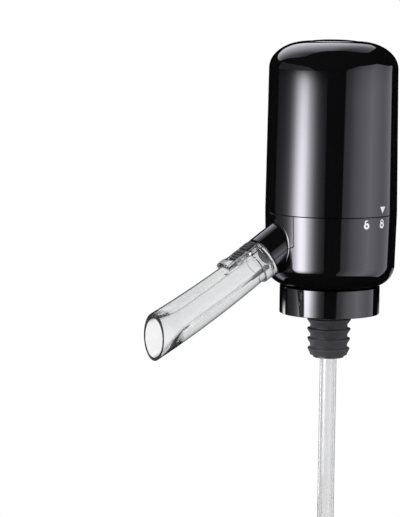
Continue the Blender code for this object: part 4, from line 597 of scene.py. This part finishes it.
# %% [markdown]
# ## Button
#
# The button is a separate disc in the shell's hole, a touch proud and slightly
# crowned, so that its middle can be felt. Its flange stops it from coming out and
# its stem reaches down to the switch.

# %% Button
outline = [(0, 99.4), (2.4, 99.4, 0.2), (2.4, 104.3), (9.2, 104.3), (9.2, 103.17, 0.2),
           (12.2, 103.17, 0.2), (12.2, 104.37, 0.2), (10.7, 104.37), (10.7, 106.5, 0.3)]
outline += arc((0, 106.3), 10.5, 0.9, 12, 90, 14)
dress(turned("button_cap", outline, 96), "black_gloss_abs", "button", "power_button")

# %% [markdown]
# Under the button sits its return spring, three turns of round wire. A helix could
# come from a curve with a bevel. Here rings of points are laid along it, and the
# spring gets a mesh of its own. The real spring shortens with the button; this one is left at
# rest.

# %% Button's return spring
SPRING_LOW = 100.1
SPRING_HIGH = 104.0
WIRE = 0.3
WIRE_SIDES = 12
COIL_RADIUS = 5.5
COIL_STEPS = 36
COILS = 3
SPRING_LENGTH = SPRING_HIGH - SPRING_LOW

shape = bmesh.new()
rings = []
last_step = COILS * COIL_STEPS
for step in range(last_step + 1):
    wind = 360 / COIL_STEPS * step
    level = SPRING_LOW + WIRE + (SPRING_LENGTH - 2 * WIRE) * step / last_step
    section = [polar(WIRE, 360 / WIRE_SIDES * side) for side in range(WIRE_SIDES)]
    rings.append([shape.verts.new((*polar(COIL_RADIUS + out, wind), level + rise))
                  for out, rise in section])
skin(shape, rings)
spring = new_piece("return_spring", shape)
dress(spring, "bright_steel", "top_cover", "button_spring")
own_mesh(spring)

# %% [markdown]
# ## Neck frame
#
# The neck and the spout lean down and outwards by 33.4 degrees. One matrix gives
# them a frame of their own: X is their upper side and Z runs out along them, so
# every shape on the neck can be written as if it stood upright.

# %% Neck frame and neck walls
NECK_SLOPE = math.radians(33.4)
NECK_RADIUS = 9.1
NECK_LENGTH = 5.9
NECK_ROOT = Vector((-BODY_RADIUS, 0, 20.2))
NECK = Matrix.Translation(NECK_ROOT) @ Matrix.Rotation(-(math.pi / 2 + NECK_SLOPE), 4, "Y")
NECK_SIDES = 96
FILLET = 1.1
FILLET_STEPS = 56
FILLET_HALF_RANGE = math.radians(118)


def wall_along(radius, angle):
    """How far along the neck the body's wall lies, on a line beside the neck's axis."""
    wall_x = -math.sqrt(BODY_RADIUS ** 2 - (radius * math.sin(angle)) ** 2)
    lift = radius * math.cos(angle)
    return (NECK_ROOT.x - wall_x - lift * math.sin(NECK_SLOPE)) / math.cos(NECK_SLOPE)


def neck_wall(point):
    """The same for the neck's outside."""
    local = NECK.inverted() @ point
    if abs(math.hypot(local.x, local.y) - NECK_RADIUS) > ON_WALL:
        return None
    return (NECK.to_3x3() @ Vector((local.x, local.y, 0))).normalized()


def neck_fillet():
    """The hollow corner between the neck and the body, on the neck's sides and top."""
    shape = bmesh.new()
    rings = []
    for step in range(FILLET_STEPS + 1):
        angle = FILLET_HALF_RANGE * (2 * step / FILLET_STEPS - 1)
        size = FILLET * max(math.cos(angle * math.pi / 2 / FILLET_HALF_RANGE) ** 0.5, 0.2)
        ring = []
        for turn in (math.radians(15 * part) for part in range(7)):
            radius = NECK_RADIUS + size * (1 - math.sin(turn))
            ring.append((radius, wall_along(radius, angle) + size * (1 - math.cos(turn))))
        inside = NECK_RADIUS - FILLET / 2
        ring += [(inside, ring[-1][1]), (inside, wall_along(inside, angle) - FILLET / 2),
                 (ring[0][0], ring[0][1] - FILLET / 2)]
        rings.append([shape.verts.new((radius * math.cos(angle), radius * math.sin(angle), along))
                      for radius, along in ring])
    skin(shape, rings)
    return new_piece("fillet", shape, NECK)


def neck_sleeve(start):
    """The neck's outside, with the small radius at its open end."""
    outline = [(0, start), (NECK_RADIUS, start), (NECK_RADIUS, NECK_LENGTH, 0.2), (0, NECK_LENGTH)]
    return turned("sleeve", outline, NECK_SIDES, NECK)


def neck_bore():
    """The stepped bore for hose, nozzle and spout."""
    outline = [(0, -14), (4.6, -14), (4.6, -3.5), (3.3, -3.5), (3.3, -1.5), (5.8, -1.5),
               (5.8, 7), (0, 7)]
    return turned("bore", outline, 64, NECK)


print("neck frame at", [round(value, 1) for value in NECK_ROOT])

# %% [markdown]
# ## Lower housing and neck cover
#
# The neck is split along its own middle: its lower half belongs to the housing, its
# upper half is a separate cover that slides down between two upright edges. The thin
# dark line of that joint runs down beside the neck and along its side. Both pieces
# are cut from the same walls, so that their surfaces run on across the joint.

# %% Space of the neck cover
GAP = 0.3
COVER_HALF = 11.3
COVER_FOOT_HALF = 9.9


def cover_space(grow):
    """The room of the neck cover: over the neck's middle plane, between upright edges."""
    half = COVER_HALF + grow
    narrow = COVER_FOOT_HALF + grow
    corner = NECK_ROOT.z + 2.4 - grow
    outline = [(-narrow, -8), (narrow, -8), (narrow, corner - 1.4), (half, corner),
               (half, SEAM + 1), (-half, SEAM + 1), (-half, corner), (-narrow, corner - 1.4)]
    upright = Matrix(((0, 0, 1, 0), (1, 0, 0, 0), (0, 1, 0, 0), (0, 0, 0, 1)))
    space = prism("space", outline, -43, -14, upright)
    return keep(space, block("above", (GAP / 2 - grow, -60, -60), (60, 60, 60), NECK))


print("gap at the joint:", GAP, "mm")

# %% Neck cover
outline = [(25.2, 12.9), (27.2, 12.9), (BODY_RADIUS, SEAM, 0.1), (25.8, SEAM)]
cover = turned("neck_cover_skin", outline, BODY_SIDES)
join(cover, neck_sleeve(wall_along(NECK_RADIUS, 0) - 2))
join(cover, neck_fillet())
cut(cover, rod("inside", 25.7, 0, 110, BODY_SIDES))
keep(cover, cover_space(0))
cut(cover, neck_bore())
cut(cover, block("slot", (6.5, -2.1, 2), (8.51, 2.1, 7), NECK))
cut(cover, block("window", (0, -2.1, 2.3), (6.8, 2.1, 3.8), NECK))
dress(cover, "black_gloss_abs", "base", "neck_cover", [body_wall, neck_wall])

# %% Lower housing
outline = [(0, 5.6), (9.9, 5.6), (9.9, 3.9, 0.2)]
outline += arc(CORNER_CENTRE, CORNER_RADIUS, CORNER_RADIUS, -90, 0, 20)
outline += [(BODY_RADIUS, SEAM, 0.1), (24, SEAM), (24, 40.4, 0.3), (22.2, 40.4, 0.3),
            (22.2, 32.2), (25.8, 30.55)]
outline += arc((18.2, 13.9), 7, 7, 0, -90, 10) + [(0, 6.9)]
housing = turned("lower_housing_skin", outline, BODY_SIDES)
space = cover_space(GAP)
cut(space, rod("ledge", 25.4, 0, 110, BODY_SIDES))
join(housing, neck_sleeve(-3.5))
join(housing, neck_fillet())
cut(housing, space)
cut(housing, block("inner_half", (-0.05, -11.3, -5.5), (2.9, 11.3, 5.9), NECK))
cut(housing, neck_bore())
pillars = [polar(20, angle) for angle in (0, 120, 240)]
bosses = [polar(13.5, angle) for angle in LUG_ANGLES]
join(housing, *[rod("pillar", 2.8, 5.4, 40.3, 32, centre) for centre in pillars],
     *[rod("boss", 2.9, 5.4, 11.5, 32, centre) for centre in bosses])
cut(housing, *[rod("pilot", 1.5, 28.4, 41.4, 24, centre) for centre in pillars],
    *[rod("pilot", 1.5, 2.9, 10.5, 24, centre) for centre in bosses],
    rod("middle_hole", 3.3, 3.8, 7.9, 48), rod("side_hole", 1.8, 3.8, 7.9, 32, (7.5, 0)))
join(housing, *[bent_block("flange", 23.1, 25.4, 38.8, 40.1, angle + 42, 50.5, 40)
                for angle in LUG_ANGLES])
join(housing, *[bent_block("stop", 23.1, 25.3, 34.6, 39.3, angle + turn, 1.5, 2)
                for angle in LUG_ANGLES for turn in (10.1, -28.1)])
dress(housing, "black_gloss_abs", "base", "lower_housing", [body_wall, neck_wall])

# %% [markdown]
# ## Collar and stopper
#
# The collar is a short gloss skirt with a small radius at its lower edge. Inside it
# hangs the stopper, a silicone sleeve with saw-tooth fins whose tips are rounded:
# the fins bend as they go in and hold as they come out.

# %% Collar
outline = [(6.9, 1.9), (18.9, 1.9), (18.9, -8, 0.2), (21.15, -8, 0.3), (21.15, 3.6, 0.25),
           (6.9, 3.6)]
collar = turned("bottle_collar_skin", outline, BODY_SIDES)
sink = [(0, 0.9), (2.7, 0.9), (2.7, 1.9), (1.5, 3.0), (1.5, 4.6), (0, 4.6)]
cut(collar, *[turned("sink", sink, 32, centre=centre) for centre in bosses])
dress(collar, "black_gloss_abs", "base", "bottle_collar")

# %% Stopper
FINS = 6
FIN_PITCH = 25 / FINS
SLEEVE_RADIUS = 7.9

outline = [(6.9, -26, 0.2), (SLEEVE_RADIUS, -26, 0.3)]
for fin in range(FINS):
    low = -25.5 + FIN_PITCH * fin
    high = low + FIN_PITCH * 0.6
    reach = SLEEVE_RADIUS + 1.0 + 0.7 * fin / (FINS - 1)
    outline += [(SLEEVE_RADIUS, low), (reach, high - 0.5, 0.15), (reach, high, 0.2),
                (SLEEVE_RADIUS, high)]
outline += [(SLEEVE_RADIUS, 0), (18.6, 0, 0.4), (18.6, 1.6, 0.4), (6.9, 1.6, 0.2)]
dress(turned("stopper_sleeve", outline, 96), "dark_silicone", "base", "bottle_stopper", sharp=40)

# %% [markdown]
# ## Intake tubes
#
# Two clear tubes slide in each other like a telescope. Thin walls need both their
# faces, inner and outer, or they would bend light like a solid rod.

# %% Intake tubes, gland and foot
tube = turned("intake_upper", [(2.8, -150), (3.5, -150, 0.15), (3.5, -14.3), (2.8, -14.3)], 48)
dress(tube, "clear_acrylic", "base", "intake_tube_upper")
tube = turned("intake_lower_tube", [(1.9, -158), (2.5, -158), (2.5, -18, 0.15), (1.9, -18)], 48)
dress(tube, "clear_acrylic", "intake_lower", "intake_tube_lower")
outline = [(2.8, -153.4), (4.5, -153.4, 0.4), (4.5, -144.4, 0.4), (3.8, -144.4, 0.15),
           (3.8, -151.9), (2.8, -151.9)]
dress(turned("gland_nut", outline, 64), "black_matt_abs", "base", "tube_gland")
outline = [(1.9, -162, 0.15), (3.4, -162, 0.5), (3.4, -154, 0.3), (2.8, -154, 0.15),
           (2.8, -158.3), (1.9, -158.3)]
foot = turned("slotted_foot", outline, 64)
cut(foot, block("slot", (-5, -0.6, -163), (5, 0.6, -160)))
cut(foot, block("slot", (-0.6, -5, -163), (0.6, 5, -160)))
dress(foot, "black_matt_abs", "intake_lower", "tube_foot")

# %% [markdown]
# ## Clear spout
#
# The spout is one thick clear moulding: a plug with a groove for its seal, a flange,
# a ring, and a tube that widens and bends up slightly to a mouth cut upright. The
# bore ends in a wide cup. On the upper side stands the box that holds the latch. Its
# looks come from refraction, so bore, pocket and groove are all really there.

# %% Spout
SPOUT_SIDES = 128
SPOUT_RADIUS = 7.5
WIDENING = 1.4
RING_END = 11.9
MOUTH_ALONG = 67.2
FAR_END = 76.1
SPOUT_LENGTH = MOUTH_ALONG - RING_END
SPOUT_STEPS = 32
STEPS_PAST_MOUTH = 5
BEND_RADIUS = 480


def bend_up(piece):
    """Curve the spout gently upwards past its straight root."""
    for corner in piece.data.vertices:
        local = NECK.inverted() @ (corner.co / MM)
        past = max(local.z - RING_END, 0)
        local.x += past * past / (2 * BEND_RADIUS)
        corner.co = (NECK @ local) * MM
    return piece


outline = [(0, 0.8), (5.5, 0.8, 0.2), (5.5, 4.05), (4.3, 4.05), (4.3, 5.55), (5.5, 5.55),
           (5.5, 6.2), (8.7, 6.2, 0.1), (8.7, 8.2, 0.1), (8.3, 8.2), (8.3, 8.7), (8.5, 8.7, 0.1),
           (8.5, RING_END, 0.4)]
last_step = SPOUT_STEPS + STEPS_PAST_MOUTH
outline += [(SPOUT_RADIUS + WIDENING * step / SPOUT_STEPS,
             RING_END + SPOUT_LENGTH * step / SPOUT_STEPS) for step in range(last_step + 1)]
outline += [(0, RING_END + SPOUT_LENGTH * last_step / SPOUT_STEPS)]
spout = bend_up(turned("spout_clear", outline, SPOUT_SIDES, NECK))
print("spout outside made")

# %% [markdown]
# The box for the latch, the bore and the mouth are joined and cut next. The bore is
# bent with the same rule as the outside, so the wall stays even.

# %% Spout box, bore and mouth
SIDEWAYS = Matrix(((1, 0, 0, 0), (0, 0, -1, 0), (0, 1, 0, 0), (0, 0, 0, 1)))
PIVOT = Vector((6.9, 0, 12.1))
SPRING = NECK @ Matrix.Translation((0, 0, 16.8)) @ Matrix.Rotation(math.pi / 2, 4, "Y")
BORE_RADIUS = 3.6
FLARE_START = 47
BORE_STEPS = 16


def side_prism(name, outline, half_width):
    """Extrude a side view of (height, along) points of the neck's frame to both sides."""
    return prism(name, outline, -half_width, half_width, NECK @ SIDEWAYS)


def across_neck(name, radius, half_length):
    """A rod across the neck on the latch's pivot."""
    place = NECK @ Matrix.Translation(PIVOT) @ Matrix.Rotation(math.pi / 2, 4, "X")
    return rod(name, radius, -half_length, half_length, 32, place=place)


def spout_wall(point):
    """The same for the outside of the spout's tube."""
    local = NECK.inverted() @ point
    past = local.z - RING_END
    if past < 0:
        return None
    local.x -= past * past / (2 * BEND_RADIUS)
    radius = math.hypot(local.x, local.y)
    if abs(radius - SPOUT_RADIUS - WIDENING * past / SPOUT_LENGTH) > ON_WALL:
        return None
    side = Vector((local.x / radius, local.y / radius, 0))
    side.z = -WIDENING / SPOUT_LENGTH - side.x * past / BEND_RADIUS
    return (NECK.to_3x3() @ side).normalized()


outline = [(0, 7.2), (8.2, 7.2, 0.2), (8.2, 19.1, 0.3), (8.9, 20.2, 0.5), (8.9, 22.8, 0.8),
           (8.2, 23.9, 0.6), (0, 23.9)]
box = prism("box", [(0, -5), (8.2, -5, 0.9), (8.2, 5, 0.9), (0, 5)], 7.0, 19.3, NECK)
join(box, prism("nose", [(0, -5), (8.9, -5, 1.1), (8.9, 5, 1.1), (0, 5)], 19.1, 24, NECK))
keep(box, side_prism("side_view", outline, 5.5))
join(spout, box)
outline = [(0, -0.2), (BORE_RADIUS, -0.2)]
outline += [(BORE_RADIUS, RING_END + (FLARE_START - RING_END) * step / BORE_STEPS)
            for step in range(BORE_STEPS + 1)]
outline += [(3.8, 49.5), (4.3, 52), (4.9, 54.5), (5.6, 57), (6.3, 59.5), (6.9, 62), (7.4, 64.5),
            (7.7, 67), (7.8, 69.5), (7.8, 73), (0, FAR_END + 1)]
cut(spout, bend_up(turned("bore", outline, 96, NECK)))
cut(spout, block("mouth", (-110, -27, -63), (-83.9, 27, 20.2)))
cut(spout, block("pocket", (5.6, -3.0, 5.9), (10, 3.0, 19.0), NECK))
cut(spout, across_neck("pin_hole", 1.0, 6.0))
cut(spout, rod("seat", 1.6, 4.77, 6.6, 24, place=SPRING))
dress(spout, "clear_acrylic", "base", "spout", [spout_wall])

# %% [markdown]
# ## Latch
#
# Two pads on one black rocker, the inner one a step higher. Rounded ribs across the
# pads give grip and catch the light one by one. Under them the rocker is a thin plate
# with a snap-on bearing for its pin, a peg for its spring and a hook that reaches
# under the neck cover. A bevel modifier rounds every edge of the shape at once,
# which is quicker here than edge radii in the outline.

# %% Latch with ribbed pads
RIB_DEPTH = 0.3
RIB_STEPS = 8
LATCH_HALF_WIDTH = 2.75


def ribbed(start, end, ribs):
    """Points of a slope of rounded ribs between two (height, along) points."""
    points = []
    for step in range(ribs * RIB_STEPS + 1):
        share = step / (ribs * RIB_STEPS)
        drop = RIB_DEPTH * (1 - abs(math.sin(math.pi * share * ribs)))
        points.append((start[0] + (end[0] - start[0]) * share - drop,
                       start[1] + (end[1] - start[1]) * share))
    return points


outline = [(7.6, 6.3), (7.6, 9.7), (6.6, 10.3), (5.95, 10.9), (5.95, 13.3), (6.6, 13.9),
           (7.6, 14.5), (7.6, 18.7), (8.0, 18.7)]
outline += ribbed((8.3, 18.5), (8.65, 12.9), 4) + [(8.3, 12.75), (8.3, 12.3)]
outline += ribbed((9.05, 12.1), (8.7, 6.4), 4) + [(8.3, 6.3)]
latch = side_prism("latch_rocker", outline, LATCH_HALF_WIDTH)
hook = [(6.1, 2.6), (6.1, 3.5), (6.8, 3.5), (6.8, 7.3), (7.7, 7.3), (7.55, 2.6)]
join(latch, side_prism("hook", hook, 1.8))
join(latch, rod("peg", 0.7, 6.0, 7.8, 24, place=SPRING))
cut(latch, across_neck("pin_hole", 1.0, 4.3))
bevel = latch.modifiers.new("soft edges", "BEVEL")
bevel.width = 0.1 * MM
bevel.segments = 2
bevel.limit_method = "ANGLE"
bevel.angle_limit = math.radians(50)
apply_modifiers(latch)
dress(latch, "black_matt_abs", "latch", "spout_latch")

# %% [markdown]
# ## Printed signs
#
# A small triangle on the shell points at one of two padlocks on the housing, one
# shut and one open. On the real object they are pad-printed in white. Here each sign
# is a thin relief that follows the round wall, three hundredths of a millimetre
# proud, so that it stays in the exported model.

# %% Signs on the round wall
INK = 0.03
COLUMNS = 4


def on_wall(ends, share, angle, height, proud):
    """The point a share of the way between two (across, up) points of a sign."""
    across, rise = (left + (right - left) * share for left, right in zip(*ends))
    radius = wall_radius(height + rise) + proud
    turn = math.radians(angle) + across / BODY_RADIUS
    return radius * math.cos(turn), radius * math.sin(turn), height + rise


def printed(name, strips, angle, height):
    """A sign from strips of paired (across, up) points, laid on the wall at an angle."""
    shape = bmesh.new()
    for strip in strips:
        under, over = [[[shape.verts.new(on_wall(ends, column / COLUMNS, angle, height, proud))
                         for column in range(COLUMNS + 1)] for ends in strip]
                       for proud in (-INK, INK)]
        quads(shape, under)
        quads(shape, over)
        for side in (0, -1):
            quads(shape, [[row[side] for row in over], [row[side] for row in under]])
            quads(shape, [over[side], under[side]])
    return new_piece(name, shape)


def ring_strip(centre, inner, outer, start, end, steps):
    """Paired points along part of a ring, angles in degrees."""
    return list(zip(*(arc(centre, radius, radius, start, end, steps)
                      for radius in (inner, outer))))


def padlock(opening):
    """A round padlock body with a keyhole, and a shackle that is shut or open."""
    shackle = ring_strip((0, 0.85), 0.55, 1.0, opening, 180, 20) + [((-0.55, 0.62), (-1.0, 0.3))]
    if opening == 0:
        shackle.insert(0, ((0.55, 0.62), (1.0, 0.3)))
    return [ring_strip((0, -0.6), 0.5, 1.3, 0, 358, 40), shackle]


arrow = [((-half, rise), (half, rise))
         for half, rise in ((1.6, 1.4), (1.2, 0.7), (0.8, 0), (0.4, -0.7), (0.032, -1.344))]
for name, strips, angle, height, body in (
    ("pointer_sign", [arrow], 288.4, 37.7, "top_cover"),
    ("shut_sign", padlock(0), 287.9, 32.0, "base"),
    ("open_sign", padlock(55), 270.5, 32.0, "base"),
):
    sign = printed(name, strips, angle, height)
    shade(sign)
    sign.data.materials.append(looks["white_ink"])
    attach(sign, body)
    print(name, "on", body)

# %% [markdown]
# ## Studio
#
# A black gloss object shows the studio more than itself. Each softbox stands where
# the casing mirrors it: a bright strip on the spout's side, a wide dim panel on the
# other, and an overhead box that the shoulder mirrors. Their light fades across them,
# as it does in a real softbox. Two low panels behind give the back its highlights.
# Only gloss sees them, so that their brightness doesn't burn out the floor.

# %% Tools for softboxes
WALL_DISTANCE = 450
REAR_DISTANCE = 900
LEAN_LIMIT = 20
LAMP_WHITE = linear("#F6F3FF")
UPRIGHT = ((-280, 0), (600, 0))


def ramp_over(tree, value, stops, unit=1):
    """A ramp through (place, share) stops."""
    start, end = stops[0][0], stops[-1][0]
    along = add(tree, "MapRange", {"Value": value, "From Min": start * unit,
                                   "From Max": end * unit})
    return add(tree, "ValToRGB", {"Fac": along},
               [((place - start) / (end - start), (share,) * 3 + (1,)) for place, share in stops])


def for_gloss_alone(panel):
    """Leave a stage piece to mirror-like reflections alone."""
    for rays in ("camera", "diffuse", "transmission", "shadow"):
        setattr(panel, "visible_" + rays, False)


def light_panel(name, rows, strength, stops, heights, leans=UPRIGHT):
    """An emitting wall: shares by azimuth and by height, and its lean in degrees by height."""
    light = name + "_light"
    tree, shader, place = start_material(light)
    tree.nodes.remove(shader)
    place = add(tree, "SeparateXYZ", {"Vector": place}).outputs
    turn = add(tree, "Math", {0: place["Y"], 1: place["X"]}, operation="ARCTAN2")
    turn = add(tree, "Math", {0: turn}, operation="DEGREES")
    middle = (stops[0][0] + stops[-1][0]) / 2
    turn = add(tree, "Math", {0: turn, 1: middle + 180, 2: middle - 180}, operation="WRAP")
    tilts = [(height, (lean + LEAN_LIMIT) / (2 * LEAN_LIMIT)) for height, lean in leans]
    shift = add(tree, "Math", {0: ramp_over(tree, place["Z"], tilts, MM), 1: 2 * LEAN_LIMIT,
                               2: -LEAN_LIMIT}, operation="MULTIPLY_ADD")
    turn = add(tree, "Math", {0: turn, 1: shift}, operation="ADD")
    shown = add(tree, "Math", {0: ramp_over(tree, turn, stops),
                               1: ramp_over(tree, place["Z"], heights, MM)}, operation="MULTIPLY")
    power = add(tree, "Math", {0: shown, 1: strength}, operation="MULTIPLY")
    glow = add(tree, "Emission", {"Color": LAMP_WHITE, "Strength": power})
    fill(tree.nodes["Material Output"], {"Surface": glow})
    shape = bmesh.new()
    quads(shape, [[shape.verts.new(point) for point in row] for row in rows])
    panel = new_piece(name, shape)
    panel.data.materials.append(looks[light])
    for_gloss_alone(panel)
    print(name, "emits up to", strength)


def wall_rows(top_line, low, distance=WALL_DISTANCE, steps=8):
    """Rows of points of an upright wall round the axis, under a line of (azimuth, height)."""
    line = [(first[0] + (second[0] - first[0]) * step / steps,
             first[1] + (second[1] - first[1]) * step / steps)
            for first, second in zip(top_line, top_line[1:]) for step in range(steps)]
    line += top_line[-1:]
    return [[(*polar(distance, azimuth), low) for azimuth, height in line],
            [(*polar(distance, azimuth), height) for azimuth, height in line]]


print("softbox tools ready")

# %% [markdown]
# The key's strip fades out softly at both sides. Above it the studio's wall catches a
# little of its light. The fill is a wide panel that ends sharply at both sides.

# %% Key and fill
light_panel(
    "key_softbox", wall_rows([(118, 84), (236, 84)], -170, steps=32), 21.6,
    ((126, 0), (127, 0.006), (136, 0.011), (144, 0.017), (149, 0.025), (155, 0.042),
     (159, 0.065), (162, 0.1), (166, 0.18), (170, 0.32), (176, 0.62), (182, 0.91), (186, 1),
     (190, 0.92), (193, 0.83), (196, 0.63), (200, 0.43), (204, 0.28), (208, 0.16),
     (212, 0.08), (216, 0.045), (219, 0.03), (224, 0.017), (227, 0.012), (228, 0)),
    ((-170, 0.25), (-60, 1), (-30, 1), (37, 0.84), (60, 0.72), (72, 0.62), (77, 0.5),
     (80, 0.3), (84, 0.02)),
    ((-170, 0.9), (-55, 0.9), (-36, -0.4), (-26, -0.7), (-12, -1.2), (-1, 0.6), (17, 0.4),
     (45, -0.25), (65, -0.5), (84, -0.9)))
light_panel(
    "key_glow",
    wall_rows([(127, 280), (165, 280), (183, 255), (194, 230), (200, 160), (207, 85)], 84), 0.48,
    ((127, 0.4), (143, 0.45), (160, 0.62), (176, 0.9), (207, 1)), ((84, 1), (290, 1)))
light_panel(
    "fill_softbox",
    wall_rows([(250, 120), (262, 150), (268, 185), (275, 240), (285, 295), (300, 310),
               (327, 320), (343, 230), (352, 190), (368, 165)], -260), 2.7,
    ((257.5, 0), (259, 0.2), (263, 0.25), (268, 0.29), (273, 0.43), (279, 0.57),
     (284, 0.65), (290, 0.74), (296, 0.82), (302, 0.91), (308, 1), (314, 0.88),
     (321, 0.77), (329, 0.62), (336, 0.52), (346, 0.51), (356, 0.6), (359.5, 0.6), (360.5, 0)),
    ((-260, 0.9), (-60, 1), (70, 1), (84, 0.78), (320, 0.6)),
    ((-260, 13.5), (-60, 4), (-36, 2.4), (-12, 1.3), (0, 1.8), (320, -12.6)))

# %% [markdown]
# The overhead box hangs above and behind, on a ball of half a metre round the
# shoulder, so its edges are given as directions: an elevation, and where the box
# starts and ends at it. Thick at one side and thin at the other, its reflection shows
# how round the shoulder is.

# %% Overhead and rear
BALL_CENTRE = 100
BALL_RADIUS = 500
overhead = []
for elevation, start, end in ((20, 49, 117), (25, 43, 121), (30, 39, 124), (36, 34, 127),
                              (42, 28, 134), (48, 18, 141), (54, 12, 145), (60, 12, 145),
                              (66, 22, 133), (69, 38, 122), (72, 58, 110)):
    out, rise = polar(BALL_RADIUS, elevation)
    overhead.append([(x, y, BALL_CENTRE + rise) for x, y in arc((0, 0), out, out, start, end, 32)])
light_panel(
    "overhead_softbox", overhead, 2.45,
    ((12, 0.22), (31, 0.24), (40, 0.29), (45, 0.43), (50, 0.52), (57, 0.78), (63, 0.92),
     (72, 1), (90, 0.94), (100, 0.77), (108, 0.59), (116, 0.43), (122, 0.33), (146, 0.27)),
    ((271, 1), (454, 1), (494, 0.9), (524, 0.77), (545, 0.7), (560, 0.6), (576, 0.45)))
light_panel(
    "rear_strip", wall_rows([(96, -125), (130, -125)], -280, REAR_DISTANCE, 32), 8,
    ((98, 0), (104, 0.3), (110, 0.9), (114, 1), (120, 0.4), (127, 0.02)),
    ((-280, 0.8), (-200, 1), (-135, 0.9), (-125, 0)))
light_panel(
    "rear_panel", wall_rows([(23, -125), (70, -125)], -280, REAR_DISTANCE, 32), 0.6,
    ((24, 0), (25, 0.6), (45, 1), (68, 0.5), (69, 0)),
    ((-280, 0.9), (-200, 1), (-135, 0.9), (-125, 0)))

# %% [markdown]
# Seen from high above, the casing mirrors what lies below and behind it. A sheet close
# to the floor carries the rear strip on to there, so that the back keeps its highlight
# from every height.

# %% Low reflector
SHEET_HEIGHT = -290
sheet = [[(x, y, SHEET_HEIGHT) for x, y in arc((0, 0), reach, reach, 96, 145, 20)]
         for reach in (350, 890)]
light_panel(
    "low_reflector", sheet, 2,
    ((98, 0), (104, 0.2), (112, 0.8), (118, 1), (126, 0.5), (134, 0.2), (144, 0)),
    ((SHEET_HEIGHT - 1, 1), (SHEET_HEIGHT + 1, 1)))

# %% [markdown]
# ## Black flags, lamp, world and floor
#
# The background is plain white for the camera, for gloss and through clear parts.
# Black flags round the object keep that white out of the casing's reflections, as in
# product photography, and so give the dark bands and the crisp dark edges. One large
# soft lamp and a grey world light everything that isn't mirror-like.

# %% Black flags and lamp
FLAG_DISTANCE = 1000
FLAG_TOP = 900
FLOOR = -300
FLAG_FOOT = FLOOR + 5

tree, shader, place = start_material("black_felt")
fibre = add(tree, "TexNoise", {"Vector": place, "Scale": per(2), "Detail": 3})
felt = add(tree, "ValToRGB", {"Fac": fibre}, between("#060606", "#0C0C0C"))
fill(shader, {"Base Color": felt, "Roughness": 1, "Specular IOR Level": 0})
flags = turned("black_flags", [(0, FLAG_FOOT), (FLAG_DISTANCE, FLAG_FOOT),
                               (FLAG_DISTANCE, FLAG_TOP), (0, FLAG_TOP)], 64)
flags.data.materials.append(looks["black_felt"])
for_gloss_alone(flags)

lamp_data = bpy.data.lights.new("soft_lamp", "AREA")
lamp_data.size = 1.2
lamp_data.energy = 30
lamp = new_object("soft_lamp", lamp_data)
lamp.location = Vector((-1000, -700, 1300)) * MM
lamp.rotation_euler = (-lamp.location).to_track_quat("-Z", "Y").to_euler()
lamp.visible_glossy = False
lamp.visible_transmission = False
print("lamp", lamp_data.energy, "W")

# %% World
WORLD_GREY = (0.45, 0.45, 0.45, 1)
WHITE = (1, 1, 1, 1)

world = bpy.data.worlds.new("studio")
bpy.context.scene.world = world
world.use_nodes = True
tree = world.node_tree
rays = add(tree, "LightPath").outputs
mirrored = add(tree, "Math", {0: rays["Is Camera Ray"], 1: rays["Is Glossy Ray"]},
               operation="MAXIMUM")
background = add(tree, "Math", {0: mirrored, 1: rays["Is Transmission Ray"]},
                 operation="MAXIMUM")
seen = add(tree, "Mix", {"Factor": background, "A": WORLD_GREY, "B": WHITE}, data_type="RGBA")
fill(tree.nodes["Background"], {"Color": seen.outputs["Result"]})
bpy.context.scene.view_settings.view_transform = "Standard"
print("world ready")

# %% [markdown]
# The floor is a pale matt sheet well below the object, because the intake tube draws
# out that far. It keeps the object's shadow and runs into the white further out.

# %% Floor
FLOOR_RADIUS = 4000
WHITE_FROM = 0.2
WHITE_AT = 0.7

tree, shader, place = start_material("paper_floor")
fibre = add(tree, "TexNoise", {"Vector": place, "Scale": per(3), "Detail": 4})
tone = add(tree, "ValToRGB", {"Fac": fibre}, between("#F1F1F0", "#F6F6F5"))
fill(shader, {"Base Color": tone, "Roughness": 0.9, "Specular IOR Level": 0.1})
reach = add(tree, "VectorMath", {0: place}, operation="LENGTH").outputs["Value"]
far = add(tree, "MapRange", {"Value": reach, "From Min": WHITE_FROM, "From Max": WHITE_AT,
                             "To Min": 0.3})
white = add(tree, "Emission", {"Color": WHITE})
blend = add(tree, "MixShader", {0: far, 1: shader, 2: white})
fill(tree.nodes["Material Output"], {"Surface": blend})
shape = bmesh.new()
bmesh.ops.create_circle(shape, cap_ends=True, radius=FLOOR_RADIUS, segments=64)
floor = new_piece("floor", shape)
floor.location.z = FLOOR * MM
floor.data.materials.append(looks["paper_floor"])
print("floor at", FLOOR, "mm")
